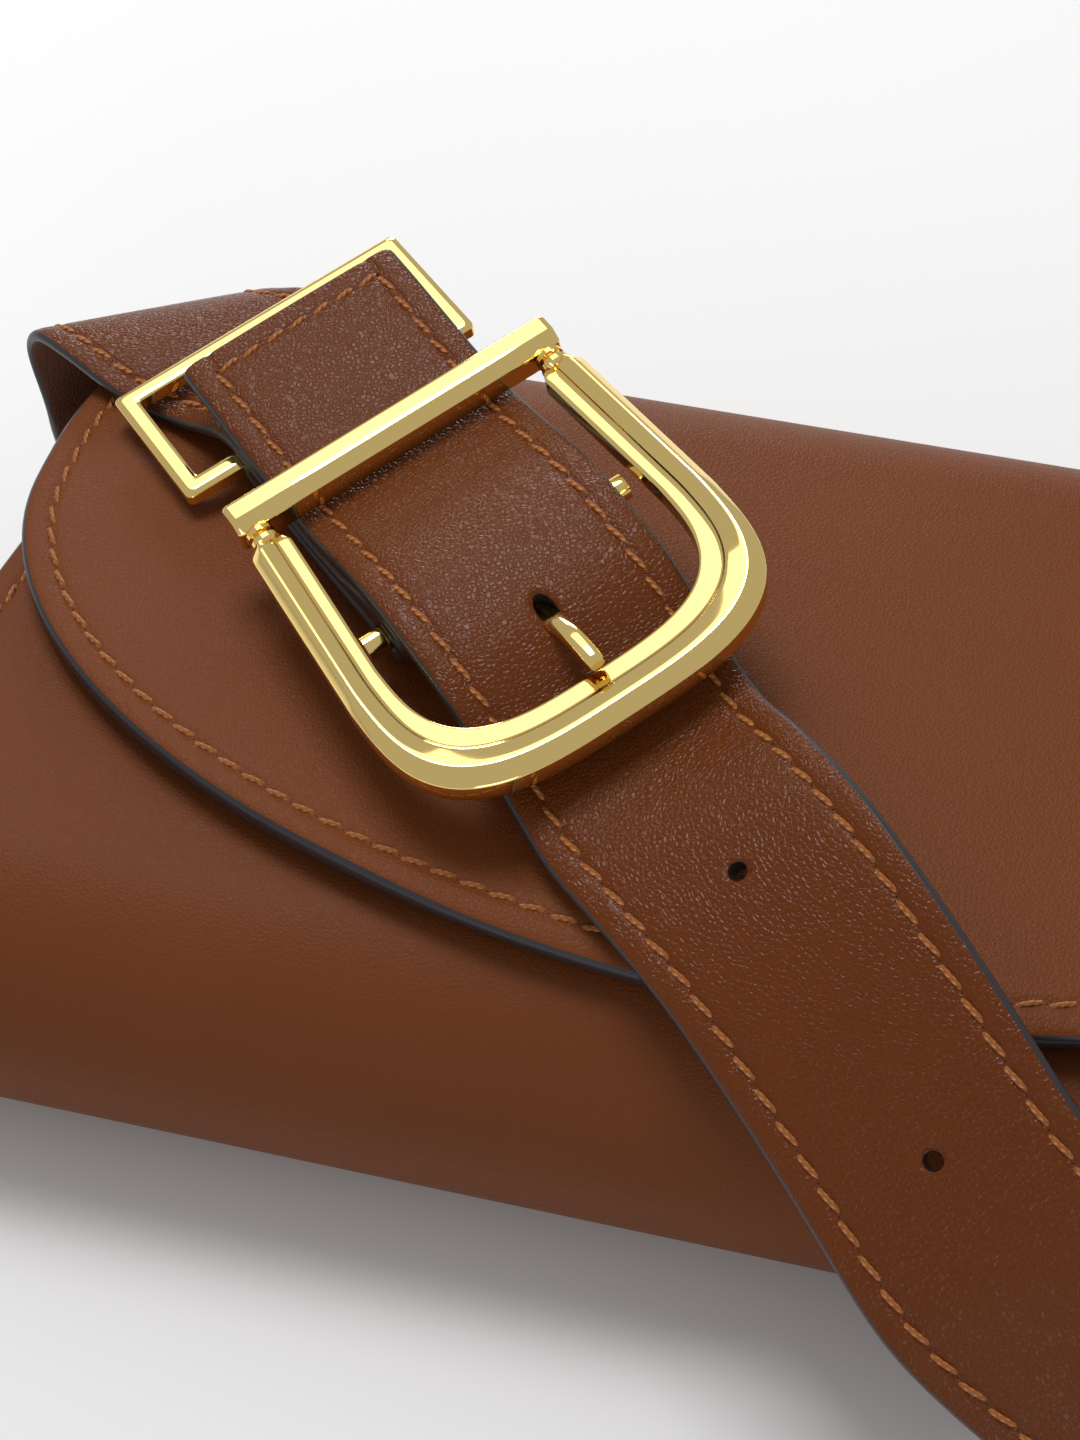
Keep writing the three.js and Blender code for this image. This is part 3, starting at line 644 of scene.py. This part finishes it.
def long_smooth(l, a):
    """The strap's middle surface, eased where its two runs meet."""
    edge = FLAT_S[-1]
    ease = 9
    if abs(l - edge) > ease:
        return long_mid(l, a)
    k = (l - edge + ease) / (2 * ease)
    p0, p1 = long_mid(edge - ease, a), long_mid(edge + ease, a)
    d0 = (p0 - long_mid(edge - ease - 1, a)) * 2 * ease
    d1 = (long_mid(edge + ease + 1, a) - p1) * 2 * ease
    return ((2 * k ** 3 - 3 * k ** 2 + 1) * p0 + (k ** 3 - 2 * k ** 2 + k) * d0
            + (3 * k ** 2 - 2 * k ** 3) * p1 + (k ** 3 - k ** 2) * d1)


def up_side(mid, l, length):
    """+1 if the middle surface's normal points up at l, else -1."""
    p, n = mid_frame(mid, l, np.array([0.0]), length)
    return 1 if n[0][2] > 0 else -1


def cut_away(ob, tool):
    """Cuts a tool's shape out of a piece and deletes the tool."""
    mod = ob.modifiers.new("cut", "BOOLEAN")
    mod.object = tool
    mod.operation = "DIFFERENCE"
    mod.solver = "EXACT"
    bpy.context.view_layer.update()
    old = ob.data
    ob.data = bpy.data.meshes.new_from_object(ob.evaluated_get(bpy.context.evaluated_depsgraph_get()))
    ob.modifiers.clear()
    bpy.data.meshes.remove(old)
    bpy.data.objects.remove(tool)


def punch(ob, place, normal, r, stretch):
    """Cuts a round hole, or one stretched along the strap, through a strap."""
    bpy.ops.mesh.primitive_cylinder_add(vertices=40, radius=r * MM, depth=9 * MM)
    tool = bpy.context.object
    for v in tool.data.vertices:
        v.co.x *= stretch
    z = Vector(normal)
    x = Vector(DIR) - z * z.dot(Vector(DIR))
    x.normalize()
    m = Matrix((x, z.cross(x), z)).transposed().to_4x4()
    m.translation = Vector(place) * MM
    tool.matrix_world = m
    tool.data.materials.append(EDGE)
    cut_away(ob, tool)


long_strap = ribbon("long_strap_leather", long_smooth, LONG_LENGTH, strap_section(HALF, STRAP_T),
                    [STRAP_LEATHER, EDGE, INNER], step=2.2, ends=(True, False))
HOLE_STEP = 45.8
for t, r, stretch in ((-1.2, 1.5, 1.9), (HOLE_STEP, 1.35, 1.0), (2 * HOLE_STEP - 3, 1.35, 1.0)):
    p, n = mid_frame(long_smooth, length_at(t), np.array([0.0]), LONG_LENGTH)
    punch(long_strap, p[0], n[0] * np.sign(n[0][2]), r, stretch)
finish_piece(long_strap, "strap", ["long_strap"])
UP = up_side(long_smooth, 60, LONG_LENGTH)
TOP = STRAP_T / 2 - 0.3
for side in (-1, 1):
    run(f"long_strap_thread_{'a' if side < 0 else 'b'}", long_smooth, LONG_LENGTH, side * STITCH_A,
        (END_INSET, LONG_LENGTH - 6), 4.9, UP * TOP)
run_across("long_strap_thread_tail", long_smooth, LONG_LENGTH, END_INSET, UP * TOP)

# ---------------------------------------------------------------- buckle strap
LEG_T, LEG_SHIFT, FOLD_SHIFT, FOLD_SLANT = -109.5, -5.5, -11.0, 0.32
WRAP_R = 2.0 + GAP + PLY_T / 2 + 0.2
wrap_angles = [math.pi / 2 - math.pi * i / 8 + 0.15 for i in range(9)]
BUCKLE_KEYS = [
    (LEG_T, LEG_FOOT), (LEG_T + 0.2, 20), (LEG_T + 1, 34), (LEG_T + 2.2, 46), (LEG_T + 3, 56),
    (LEG_T + 7, 63.2), (LEG_T + 14, 66.2), (-88, 66.5), (-82, 66.9), (-77, 67.7), (-71, 70), (-66, 72.3),
    (-61, 73.5), (-52, 72.9), (BAR_T, 71.6), (-29, 73.4), (-22, 76.4),
    *[(PIN_T + WRAP_R * math.cos(a), PIN_Z + WRAP_R * math.sin(a)) for a in wrap_angles],
    (-24, 69.9), (-33, 68.5), (-42, 68), (-52, 67.3), (-60, 66.9), (-66, 66.8),
]
BUCKLE_LINE = centripetal(BUCKLE_KEYS, 900)
BUCKLE_S = lengths(BUCKLE_LINE)
BUCKLE_LENGTH = BUCKLE_S[-1]


def buckle_mid(l, a):
    """Middle surface of the buckle strap at distance l from the chape."""
    a = np.atleast_1d(np.asarray(a, float))
    t = np.interp(l, BUCKLE_S, BUCKLE_LINE[:, 0])
    z = np.interp(l, BUCKLE_S, BUCKLE_LINE[:, 1])
    behind = 1 - smooth(-104, -62, t)
    oblique = FOLD_SLANT * a * (1 - smooth(-102, -84, t)) * smooth(46, 60, z)
    shift = mix(LEG_SHIFT, FOLD_SHIFT, smooth(10, 48, z)) * behind
    at = crossing(np.full(a.shape, t), a + shift, np.full(a.shape, z))
    return at + oblique[:, None] * DIR


buckle_strap = ribbon("buckle_strap_leather", buckle_mid, BUCKLE_LENGTH,
                      strap_section(HALF, PLY_T, crown=0.05), [STRAP_LEATHER, EDGE, INNER],
                      step=1.2, ends=(False, True))
# A slot at the strap's turn lets the prong's eye through.
bpy.ops.mesh.primitive_cube_add(size=1)
slot_tool = bpy.context.object
slot_tool.scale = (0.0176, 0.005, 0.014)
slot_tool.rotation_euler = (ROLL, 0, math.atan2(DIR[1], DIR[0]))
slot_tool.location = Vector(crossing(PIN_T + 5, 0.0, PIN_Z + 0.5)) * MM
cut_away(buckle_strap, slot_tool)
finish_piece(buckle_strap, "strap", ["buckle_strap"])
ply_up = up_side(buckle_mid, 95, BUCKLE_LENGTH)
wrap_from = float(BUCKLE_S[np.argmax(BUCKLE_LINE[:, 0])]) - 9
for side in (-1, 1):
    letter = "a" if side < 0 else "b"
    run(f"buckle_strap_thread_{letter}", buckle_mid, BUCKLE_LENGTH, side * STITCH_A,
        (3, wrap_from), 4.6, ply_up * (PLY_T / 2 - 0.3))
    run(f"return_ply_thread_{letter}", buckle_mid, BUCKLE_LENGTH, side * STITCH_A,
        (wrap_from + 20, BUCKLE_LENGTH - END_INSET), 4.6, -ply_up * (PLY_T / 2))
cross_at = float(np.interp(-75.5, BUCKLE_LINE[:400, 0], BUCKLE_S[:400]))
run_across("buckle_strap_thread_end", buckle_mid, BUCKLE_LENGTH, cross_at, ply_up * (PLY_T / 2))

# ---------------------------------------------------------------- body
lo, hi = box_mm("wrap_panel")
BASE_Y, SHOULDER_Y, MOUTH_Y = lo[1], 45.0, 70.0
BODY_R, BULGE = 26.5, 2.0
BASE_HALF, SHOULDER_HALF, MOUTH_HALF = 140.0, 122.0, 107.0
LEATHER_T = 2.4


def body_half(y):
    y = np.asarray(y, float)
    straight = mix(BASE_HALF, SHOULDER_HALF, (y - BASE_Y) / (SHOULDER_Y - BASE_Y))
    s = np.maximum(0, (y - SHOULDER_Y) / (MOUTH_Y - SHOULDER_Y))
    corner = 8 * (1 - smooth(BASE_Y, BASE_Y + 16, y))
    return straight - corner - (SHOULDER_HALF - MOUTH_HALF - 3) * s * s


def front_z(y):
    s = (np.asarray(y, float) - BASE_Y - BODY_R) / (52 - BASE_Y - BODY_R)
    return 2 * BODY_R + BULGE * 4 * s * (1 - s)


round_y = BASE_Y + BODY_R
keys = [(68.4, HINGE_Z - GAP - 2), (67.6, 2.6), (64, 0)]
keys += [(mix(64, round_y, i / 8), 0) for i in range(1, 8)]
for i in range(17):
    a = -math.pi / 2 - math.pi * i / 16
    keys.append((round_y + BODY_R * math.cos(a), BODY_R + BODY_R * math.sin(a)))
keys += [(mix(round_y, 52, i / 8), float(front_z(mix(round_y, 52, i / 8)))) for i in range(1, 9)]
keys += [(57.5, 51.2), (60, 48.5)]
WRAP_LINE = centripetal(keys, 900)
WRAP_S = lengths(WRAP_LINE)


def line_frame(line, s_of, s):
    """Point and right-hand normal of a plane curve of (y, z) at distance s."""
    p = np.stack([np.interp(s, s_of, line[:, k]) for k in range(2)], 1)
    t = np.stack([np.interp(s + 1.2, s_of, line[:, k]) - np.interp(s - 1.2, s_of, line[:, k])
                  for k in range(2)], 1)
    t = unit(t)
    return p, np.stack([-t[:, 1], t[:, 0]], 1)


def wrap_surface(flat, height):
    p, n = line_frame(WRAP_LINE, WRAP_S, flat[:, 1])
    q = p + n * height[:, None]
    return np.stack([flat[:, 0], q[:, 0], q[:, 1]], 1)


def rounded(points, radius, spacing):
    """Evenly spaced closed outline through a polygon whose corners are rounded."""
    pts = np.asarray(points, float)
    n = len(pts)
    out = []
    for i in range(n):
        p, a, b = pts[i], pts[i - 1], pts[(i + 1) % n]
        da, db = unit(a - p), unit(b - p)
        turn = math.acos(float(np.clip(-(da @ db), -1, 1)))
        if turn < math.radians(12):
            out.append(p[None])
            continue
        room = 0.49 * min(np.linalg.norm(a - p), np.linalg.norm(b - p))
        reach = min(radius * math.tan(turn / 2), room)
        k = np.linspace(0, 1, 14)[:, None]
        out.append((1 - k) ** 2 * (p + da * reach) + 2 * k * (1 - k) * p + k ** 2 * (p + db * reach))
    out = np.vstack(out)
    out = np.vstack([out, out[:1]])
    total = lengths(out)[-1]
    return even(out, int(total / spacing) + 1)[:-1]


def end_outline(line_s, line, half, s0, s1, inset=0.0, radius=6, spacing=2.6):
    """Outline of a panel whose half length changes along its profile. Counter-clockwise in (x, s)."""
    s = np.linspace(s0, s1, 90)
    x = half(np.interp(s, line_s, line[:, 0])) - inset
    right = np.stack([x, s], 1)
    left = np.stack([-x, s], 1)[::-1]
    return rounded(np.vstack([right, left]), radius, spacing)


PANEL_STITCH = 4.6  # stitch rows, from a panel's edge


def panel_rows(t, stitched=True):
    """Edge rows of a panel: its face with a stitch groove, the painted edge, and its back."""
    face, paint, back = 0, 1, 2
    inset = PANEL_STITCH
    top = [(7.6, 0, face), (7, 0, face)]
    if stitched:
        top += [(inset + 1.5, 0, face), (inset + 0.9, -0.05, face), (inset + 0.45, -0.22, face),
                (inset, -0.3, face), (inset - 0.45, -0.22, face), (inset - 0.9, -0.05, face),
                (inset - 1.6, 0, face)]
    top += [(1.9, -0.03, face), (1.2, -0.12, face), (0.7, -0.3, paint), (0.3, -0.62, paint),
            (0.06, -1.0, paint)]
    under = [(7.6, -t, back), (5, -t, back), (1.4, -t, back), (0.7, -t + 0.08, back), (0.3, -t + 0.3, paint),
             (0.06, -t + 0.65, paint)]
    return top, under


def row_on(outline, inset, surf, height, keep=lambda p: True):
    """Line and normals of a stitch row, inset from an outline, on a surface."""
    flat = offset(outline, inset)
    flat = even(np.vstack([flat, flat[:1]]), 5 * len(outline))
    kept = np.array([keep(p) for p in flat])
    runs, current = [], []
    for p, k in zip(flat, kept):
        if k:
            current.append(p)
        elif current:
            runs.append(current)
            current = []
    if current:
        if kept[0] and runs:
            runs[0] = current + runs[0]
        else:
            runs.append(current)
    out = []
    for r in runs:
        r = np.array(r)
        low = surf(r, np.full(len(r), height))
        high = surf(r, np.full(len(r), height + 1))
        out.append((low, unit(high - low)))
    return out


wrap_outline = end_outline(WRAP_S, WRAP_LINE, body_half, 0, WRAP_S[-1], radius=11)
top, under = panel_rows(LEATHER_T)
slab("wrap_panel_leather", wrap_outline, wrap_surface, top, under, [LEATHER, EDGE, INNER], rings=44,
     body="body", nodes=["wrap_panel"])
for i, (line, normal) in enumerate(row_on(wrap_outline, PANEL_STITCH, wrap_surface, -0.3)):
    stitches(f"wrap_panel_thread_{i + 1}", line, normal, 4.5, "body", closed=True)

# End gussets: sheets that follow the body's outline at each end.
for side, node in ((-1, "gusset_left"), (1, "gusset_right")):
    inner = []
    for s in np.linspace(6, WRAP_S[-1] - 4, 130):
        p, n = line_frame(WRAP_LINE, WRAP_S, np.array([s]))
        inner.append((p - n * (LEATHER_T + 2 * GAP))[0])
    gusset_outline = rounded(np.array(inner), 3, 2.4)

    def gusset_surface(flat, height, side=side):
        x = body_half(flat[:, 0]) - 2.8 + 1.8
        return np.stack([side * (x + height), flat[:, 0], flat[:, 1]], 1)

    if np.sum(gusset_outline[:, 0] * np.roll(gusset_outline[:, 1], -1)
              - gusset_outline[:, 1] * np.roll(gusset_outline[:, 0], -1)) < 0:
        gusset_outline = gusset_outline[::-1].copy()
    top, under = panel_rows(1.7, stitched=False)
    top = [(i, h * 0.6, k) for i, h, k in top]
    slab(f"{node}_leather", gusset_outline, gusset_surface, top, under, [LEATHER, EDGE, INNER], rings=16,
         body="body", nodes=[node])

# Lining and pocket.
LINING_DEPTH = LEATHER_T + 1.2 + 2 * GAP
lining_outline = end_outline(WRAP_S, WRAP_LINE, body_half, 4, WRAP_S[-1] - 3.5, inset=9.4, radius=4)
soft_top = [(8, 0, 0), (3, 0, 0), (0.8, -0.02, 0), (0.2, -0.2, 0)]
soft_under = [(8, -0.8, 0), (1, -0.8, 0), (0.2, -0.6, 0)]
slab("lining_cloth", lining_outline, lambda flat, h: wrap_surface(flat, h - LINING_DEPTH),
     soft_top, soft_under, [LINING], rings=30, body="body", nodes=["lining"])
plo, phi = box_mm("slip_pocket")
pocket_outline = rounded([(phi[0], plo[1]), (phi[0], phi[1]), (plo[0], phi[1]), (plo[0], plo[1])], 6, 2.4)


def pocket_surface(flat, height):
    return np.stack([flat[:, 0], flat[:, 1], phi[2] + height], 1)


slab("slip_pocket_cloth", pocket_outline, pocket_surface, soft_top, soft_under, [LINING], rings=12,
     body="body", nodes=["slip_pocket"])
pocket_row = row_on(pocket_outline, 1.6, pocket_surface, 0.0, keep=lambda p: p[1] < phi[1] - 3)
for i, (line, normal) in enumerate(pocket_row):
    stitches(f"slip_pocket_thread_{i + 1}", line, normal, 3.2, "body", thread=0.22, sink=0.2, rise=0.1)

# ---------------------------------------------------------------- flap
FLAP_SPACE, FLAP_T = 3.0, 3.75
flap_keys = []
wall_y = HINGE_Y - 0.2
top_r = 22.0
front_top = float(front_z(48)) + FLAP_SPACE
for i in range(6):
    flap_keys.append((wall_y, mix(HINGE_Z + 0.4, front_top - top_r, i / 5)))
for i in range(1, 9):
    a = math.pi / 2 * i / 8
    flap_keys.append((wall_y - top_r + top_r * math.cos(a), front_top - top_r + top_r * math.sin(a)))
ELLIPSE_Y, FLAP_DROP, FLAP_HALF = 19.0, 68.0, 127.0
tip = ELLIPSE_Y - FLAP_DROP
for i in range(1, 17):
    y = mix(wall_y - top_r, tip, i / 16)
    if y < round_y:
        z = max(math.sqrt(max(0, (BODY_R + FLAP_SPACE) ** 2 - (round_y - y) ** 2)) + BODY_R, 50)
    else:
        z = float(front_z(y)) + FLAP_SPACE
    flap_keys.append((y, z))
FLAP_LINE = centripetal(flap_keys, 900)
FLAP_S = lengths(FLAP_LINE)


def flap_surface(flat, height):
    p, n = line_frame(FLAP_LINE, FLAP_S, flat[:, 1])
    q = p - n * height[:, None]
    return np.stack([flat[:, 0], q[:, 0], q[:, 1]], 1)


def flap_half(y):
    y = np.asarray(y, float)
    low = FLAP_HALF * np.sqrt(np.maximum(0, 1 - ((ELLIPSE_Y - y) / FLAP_DROP) ** 2))
    high = FLAP_HALF - 25 * np.maximum(0, (y - ELLIPSE_Y) / (HINGE_Y - ELLIPSE_Y)) ** 3
    return np.where(y < ELLIPSE_Y, low, high)


tip_s = FLAP_S[-1]
s_low = float(np.interp(-ELLIPSE_Y, -FLAP_LINE[FLAP_LINE[:, 0] < wall_y - 1, 0],
                        FLAP_S[FLAP_LINE[:, 0] < wall_y - 1]))
upper_s = np.linspace(0, s_low, 80)
upper_x = flap_half(np.interp(upper_s, FLAP_S, FLAP_LINE[:, 0]))
angles = np.linspace(0, math.pi, 160)[1:-1]
drop = tip_s - s_low
lower = np.stack([FLAP_HALF * np.cos(angles), s_low + drop * np.sin(angles)], 1)
flap_outline = rounded(np.vstack([np.stack([upper_x, upper_s], 1), lower,
                                  np.stack([-upper_x, upper_s], 1)[::-1]]), 9, 2.4)
top, under = panel_rows(FLAP_T)
top = [(i, FLAP_T + h, k) for i, h, k in top]
under = [(i, FLAP_T + h, k) for i, h, k in under]
slab("flap_leather", flap_outline, flap_surface, top, under, [FLAP_LEATHER, EDGE, INNER], rings=26,
     body="flap", nodes=["flap_panel", "flap_lining"])
for i, (line, normal) in enumerate(row_on(flap_outline, PANEL_STITCH, flap_surface, FLAP_T - 0.3,
                                          keep=lambda p: p[1] > 8)):
    stitches(f"flap_thread_{i + 1}", line, normal, 4.5, "flap")

# ---------------------------------------------------------------- hardware
def strap_matrix(along, z, tilt=0.0):
    """Local X along the strap, Y across it, Z up, tilted down towards +X."""
    origin = crossing(along, 0.0, z)
    up = np.cross(DIR, BUCKLE_AXIS)
    x = DIR * math.cos(tilt) - up * math.sin(tilt)
    return np.stack([x, BUCKLE_AXIS, np.cross(x, BUCKLE_AXIS)], 1), origin


def rounded_section(points, radius):
    """A closed section with small arcs at its corners."""
    steps = 3
    pts = np.asarray(points, float)
    n = len(pts)
    out = []
    for i in range(n):
        p, a, b = pts[i], pts[i - 1], pts[(i + 1) % n]
        ra = min(radius, 0.42 * np.linalg.norm(a - p))
        rb = min(radius, 0.42 * np.linalg.norm(b - p))
        k = np.linspace(0, 1, steps + 1)[:, None]
        out.append((1 - k) ** 2 * (p + unit(a - p) * ra) + 2 * k * (1 - k) * p
                   + k ** 2 * (p + unit(b - p) * rb))
    return np.vstack(out)


def loft(name, rings, frame_of, nodes, sharp, closed=False, body="buckle"):
    """A gold piece through a row of sections, given in a strap frame."""
    m = len(rings[0])
    turn, origin = frame_of
    verts = np.vstack(rings) @ turn.T + origin
    faces = []
    count = len(rings)
    for r in range(count if closed else count - 1):
        a, b = r * m, ((r + 1) % count) * m
        for i in range(m):
            j = (i + 1) % m
            faces.append((a + i, a + j, b + j, b + i))
    if not closed:
        faces.append(tuple(range(m - 1, -1, -1)))
        faces.append(tuple(range((count - 1) * m, count * m)))
    finish_piece(make(name, verts, faces, [GOLD], sharp=sharp), body, nodes)


BUCKLE_Z = 81.2
BUCKLE_TILT = math.atan(0.06)
buckle_frame = strap_matrix(BAR_T, BUCKLE_Z, BUCKLE_TILT)


SIDE_X = 5.6  # where the frame's sides start, from the crossbar's middle
COUNT = 150
NECK_Y = 25.1


def d_outline(half, flare, end, corner):
    """One edge of the D-shaped frame: sides that flare a little and a rounded, slightly pointed end."""
    points = [(SIDE_X, -half)]
    for i in range(61):
        a = -math.pi / 2 + math.pi * i / 60
        e = 0.62
        x = end - corner + corner * math.copysign(abs(math.cos(a)) ** e, math.cos(a))
        points.append((x, (half + flare) * math.copysign(abs(math.sin(a)) ** e, math.sin(a))))
    points.append((SIDE_X, half))
    return even(np.array(points), COUNT)


outer = d_outline(28.4, 2.2, 62, 24)
inner = d_outline(21.8, 2, 53, 19)
frame_section = rounded_section([
    (0, -2.2), (0, 0.9), (0.36, 1.35), (0.40, 2.0), (0.70, 2.8), (0.76, 2.8), (1.0, 1.2), (1.0, -2.0),
    (0.93, -2.8), (0.07, -2.8),
], 0.16)
# Across the section, 0 is the inner outline and 1 the outer one. Heights are in millimetres.
rings = []
for i in range(COUNT):
    o, n = outer[i], inner[i]
    ends = min(i, COUNT - 1 - i)
    shrink = max(0.72, math.sqrt(1 - (1 - min(ends, 2) / 2) ** 2))
    w, h = frame_section.T
    w = 0.5 + (w - 0.5) * shrink
    xy = n[None] + (o - n)[None] * w[:, None]
    rings.append(np.column_stack([xy, h * shrink]))
loft("buckle_frame_gold", rings, buckle_frame, nodes=["buckle_frame"], sharp=35)
for k, side in enumerate((-1, 1)):
    profile = [(3.1, 1.7), (3.3, 2.2), (4.1, 2.2), (4.3, 1.6), (4.9, 1.6), (5.1, 2.4), (6.0, 2.5),
               (6.4, 2.0)]
    ang = np.linspace(0, 2 * np.pi, 28, endpoint=False)
    rings = [np.column_stack([np.full(28, x), side * NECK_Y + r * np.cos(ang), r * np.sin(ang)])
             for x, r in profile]
    loft(f"buckle_neck_{k + 1}", rings, buckle_frame, nodes=[], sharp=30)
bar_section = rounded_section([
    (-2.8, -2.6), (2.8, -2.6), (2.8, 1.1), (1.0, 2.7), (-2.0, 2.7), (-2.8, 1.9),
], 0.35)
rings = []
for y, k in ((-27.8, 0.86), (-27.5, 0.95), (-26.9, 1.0), (26.9, 1.0), (27.5, 0.95), (27.8, 0.86)):
    x, z = bar_section.T * k
    rings.append(np.column_stack([x, np.full(len(x), y), z]))
loft("buckle_crossbar_gold", rings, buckle_frame, nodes=["buckle_crossbar"], sharp=35)

pin_frame = strap_matrix(PIN_T, PIN_Z)
ang = np.linspace(0, 2 * np.pi, 40, endpoint=False)
rings = []
for y, r in ((-22.4, 2.0), (-20.0, 2.0), (20.0, 2.0), (22.4, 2.0)):
    rings.append(np.column_stack([r * np.cos(ang), np.full(40, y), r * np.sin(ang)]))
loft("pin_bar_gold", rings, pin_frame, nodes=["pin_bar"], sharp=50)

# Prong: eye and tongue. The tongue is round, tapers, and is cut to a slanted flat at its tip.
tongue = centripetal([
    (3, 0.6), (7.5, 0.9), (11.5, 2), (15.5, 4), (19, 5.8), (22, 6.9), (25, 7.3), (28.4, 7.1),
], 40)
tangent = unit(np.gradient(tongue, axis=0))
normal = np.stack([-tangent[:, 1], tangent[:, 0]], 1)
rings = []
for i, (p, n) in enumerate(zip(tongue, normal)):
    k = i / 39
    wide = mix(1.75, 1.45, k) * {38: 0.93, 39: 0.72}.get(i, 1)
    tall = mix(1.5, 1.2, k) * {38: 0.9, 39: 0.66}.get(i, 1)
    c = np.sign(np.cos(ang)) * np.abs(np.cos(ang)) ** 0.85
    s = np.sign(np.sin(ang)) * np.abs(np.sin(ang)) ** 0.85
    q = p[None] + n[None] * (tall * s)[:, None]
    rings.append(np.column_stack([q[:, 0], wide * c, q[:, 1]]))
loft("prong_gold", rings, pin_frame, body="prong", nodes=["prong"], sharp=50)
rings = []
for r, y in ((2.25, -1.5), (3.6, -1.5), (3.8, -1.3), (3.8, 1.3), (3.6, 1.5), (2.25, 1.5)):
    rings.append(np.column_stack([r * np.cos(ang), np.full(40, y), r * np.sin(ang)]))
loft("prong_eye_gold", rings, pin_frame, closed=True, body="prong", nodes=[], sharp=50)

# Slide ring: a rectangle of bevelled bar.
ring_section = rounded_section([(0, -1.2), (1, -1.2), (1, 0.7), (0.72, 1.2), (0.25, 1.2), (0, 0.9)], 0.12)
half_x, half_y, bar = 12.5, 26.0, 3.2
RING_T, RING_Z, RING_TILT, RING_SHIFT = -72, 70.9, 0.03, -2.7
outer_ring, inner_ring = [], []
for hx, hy, r, out in ((half_x, half_y, 1.1, outer_ring), (half_x - bar, half_y - bar, 0.5, inner_ring)):
    for cx, cy, a0 in ((1, 1, 0), (-1, 1, 90), (-1, -1, 180), (1, -1, 270)):
        for k in range(5):
            a = math.radians(a0 + 22.5 * k)
            out.append((cx * (hx - r) + r * math.cos(a), cy * (hy - r) + r * math.sin(a)))
rings = []
for o, n in zip(np.array(outer_ring), np.array(inner_ring)):
    xy = n[None] + (o - n)[None] * ring_section[:, :1]
    rings.append(np.column_stack([xy + np.array([0, RING_SHIFT]), ring_section[:, 1]]))
loft("slide_ring_gold", rings, strap_matrix(RING_T, RING_Z, RING_TILT), ["slide_ring"], 30, closed=True,
     body="slide_ring")

# Chapes: leather tabs with a raised end, and their rivets.
for side in ("left", "right"):
    source = frame["nodes"][f"chape_{side}"]
    me = source.data.copy()
    ob = linked(f"chape_{side}_leather", me)
    me.materials.clear()
    me.materials.append(STRAP_LEATHER)
    bm = bmesh.new()
    bm.from_mesh(me)
    bmesh.ops.remove_doubles(bm, verts=bm.verts, dist=1e-5)
    bmesh.ops.dissolve_limit(bm, angle_limit=math.radians(2), verts=bm.verts, edges=bm.edges)
    bmesh.ops.bevel(bm, geom=list(bm.edges), offset=0.0005, segments=3, profile=0.5, affect="EDGES")
    uv = bm.loops.layers.uv.verify()
    for f in bm.faces:
        for l in f.loops:
            l[uv].uv = (l.vert.co.x, l.vert.co.y + l.vert.co.z)
        f.smooth = True
    bm.to_mesh(me)
    bm.free()
    me.uv_layers[0].name = "UVMap"
    finish_piece(ob, "body", [f"chape_{side}"])
for name in sorted(n for n in frame["nodes"] if n.startswith("rivet_")):
    a, b = box_mm(name)
    c = (a + b) / 2
    r = (b[0] - a[0]) / 2
    profile = [(0, 1), (0.4, 1), (0.8, 0.93), (1.1, 0.72), (1.25, 0.4)]
    rings = [np.column_stack([c[0] + r * q * np.cos(ang), c[1] + r * q * np.sin(ang), np.full(40, a[2] + z)])
             for z, q in profile]
    loft(f"{name}_gold", rings, (np.eye(3), np.zeros(3)), body="body", nodes=[name], sharp=60)

# Hard pieces that stay as they are.
for name, mat in (("base_board", BOARD), ("snap_socket", STEEL), ("snap_socket_washer", STEEL),
                  ("snap_stud", STEEL)):
    for s in frame["nodes"][name].material_slots:
        s.material = mat

# ---------------------------------------------------------------- floor, light and camera
floor_mat = plain("floor", (0.80, 0.80, 0.80), 0.95, spec=0.05)
bpy.ops.mesh.primitive_plane_add(size=14, location=(0, 0, -0.0006))
floor = bpy.context.object
floor.name = "floor"
floor.data.materials.append(floor_mat)

AIM = np.array([-40.0, -10.7, 60.0]) * MM
AZIMUTH, ELEVATION, DISTANCE = math.radians(13.4), math.radians(50.0), 0.371
back = np.array([math.sin(AZIMUTH) * math.cos(ELEVATION), -math.cos(AZIMUTH) * math.cos(ELEVATION),
                 math.sin(ELEVATION)])
cam_data = bpy.data.cameras.new("camera")
cam_data.lens = 65
cam_data.sensor_width = 36
cam_data.clip_start = 0.01
cam = linked("camera", cam_data)
cam.location = Vector(AIM + back * DISTANCE)
cam.rotation_mode = "QUATERNION"
cam.rotation_quaternion = Vector(-back).to_track_quat("-Z", "Y")
bpy.context.scene.camera = cam


def area_light(name, place, aim, size, power, size_y=None):
    data = bpy.data.lights.new(name, "AREA")
    data.energy = power
    data.shape = "RECTANGLE" if size_y else "SQUARE"
    data.size = size
    if size_y:
        data.size_y = size_y
    ob = linked(name, data)
    ob.location = place
    ob.rotation_mode = "QUATERNION"
    ob.rotation_quaternion = (Vector(aim) - Vector(place)).to_track_quat("-Z", "Y")


area_light("key", (-0.30, 0.30, 1.30), (0, 0, 0.03), 0.5, 9.5)
area_light("panel", (-0.49, 0.51, 1.09), (0, 0, 0.05), 0.8, 2.4)
area_light("back", (-0.45, 1.2, 0.38), (-0.05, 0, 0.06), 0.5, 3.6, size_y=0.22)
area_light("fill", (0.3, -1.2, 0.45), (0, 0, 0.04), 0.5, 2.4)
world = bpy.data.worlds.new("studio")
world.use_nodes = True
world.node_tree.nodes["Background"].inputs["Color"].default_value = (1, 1, 1, 1)
world.node_tree.nodes["Background"].inputs["Strength"].default_value = 0.46
bpy.context.scene.world = world
bpy.context.scene.view_settings.view_transform = "Standard"
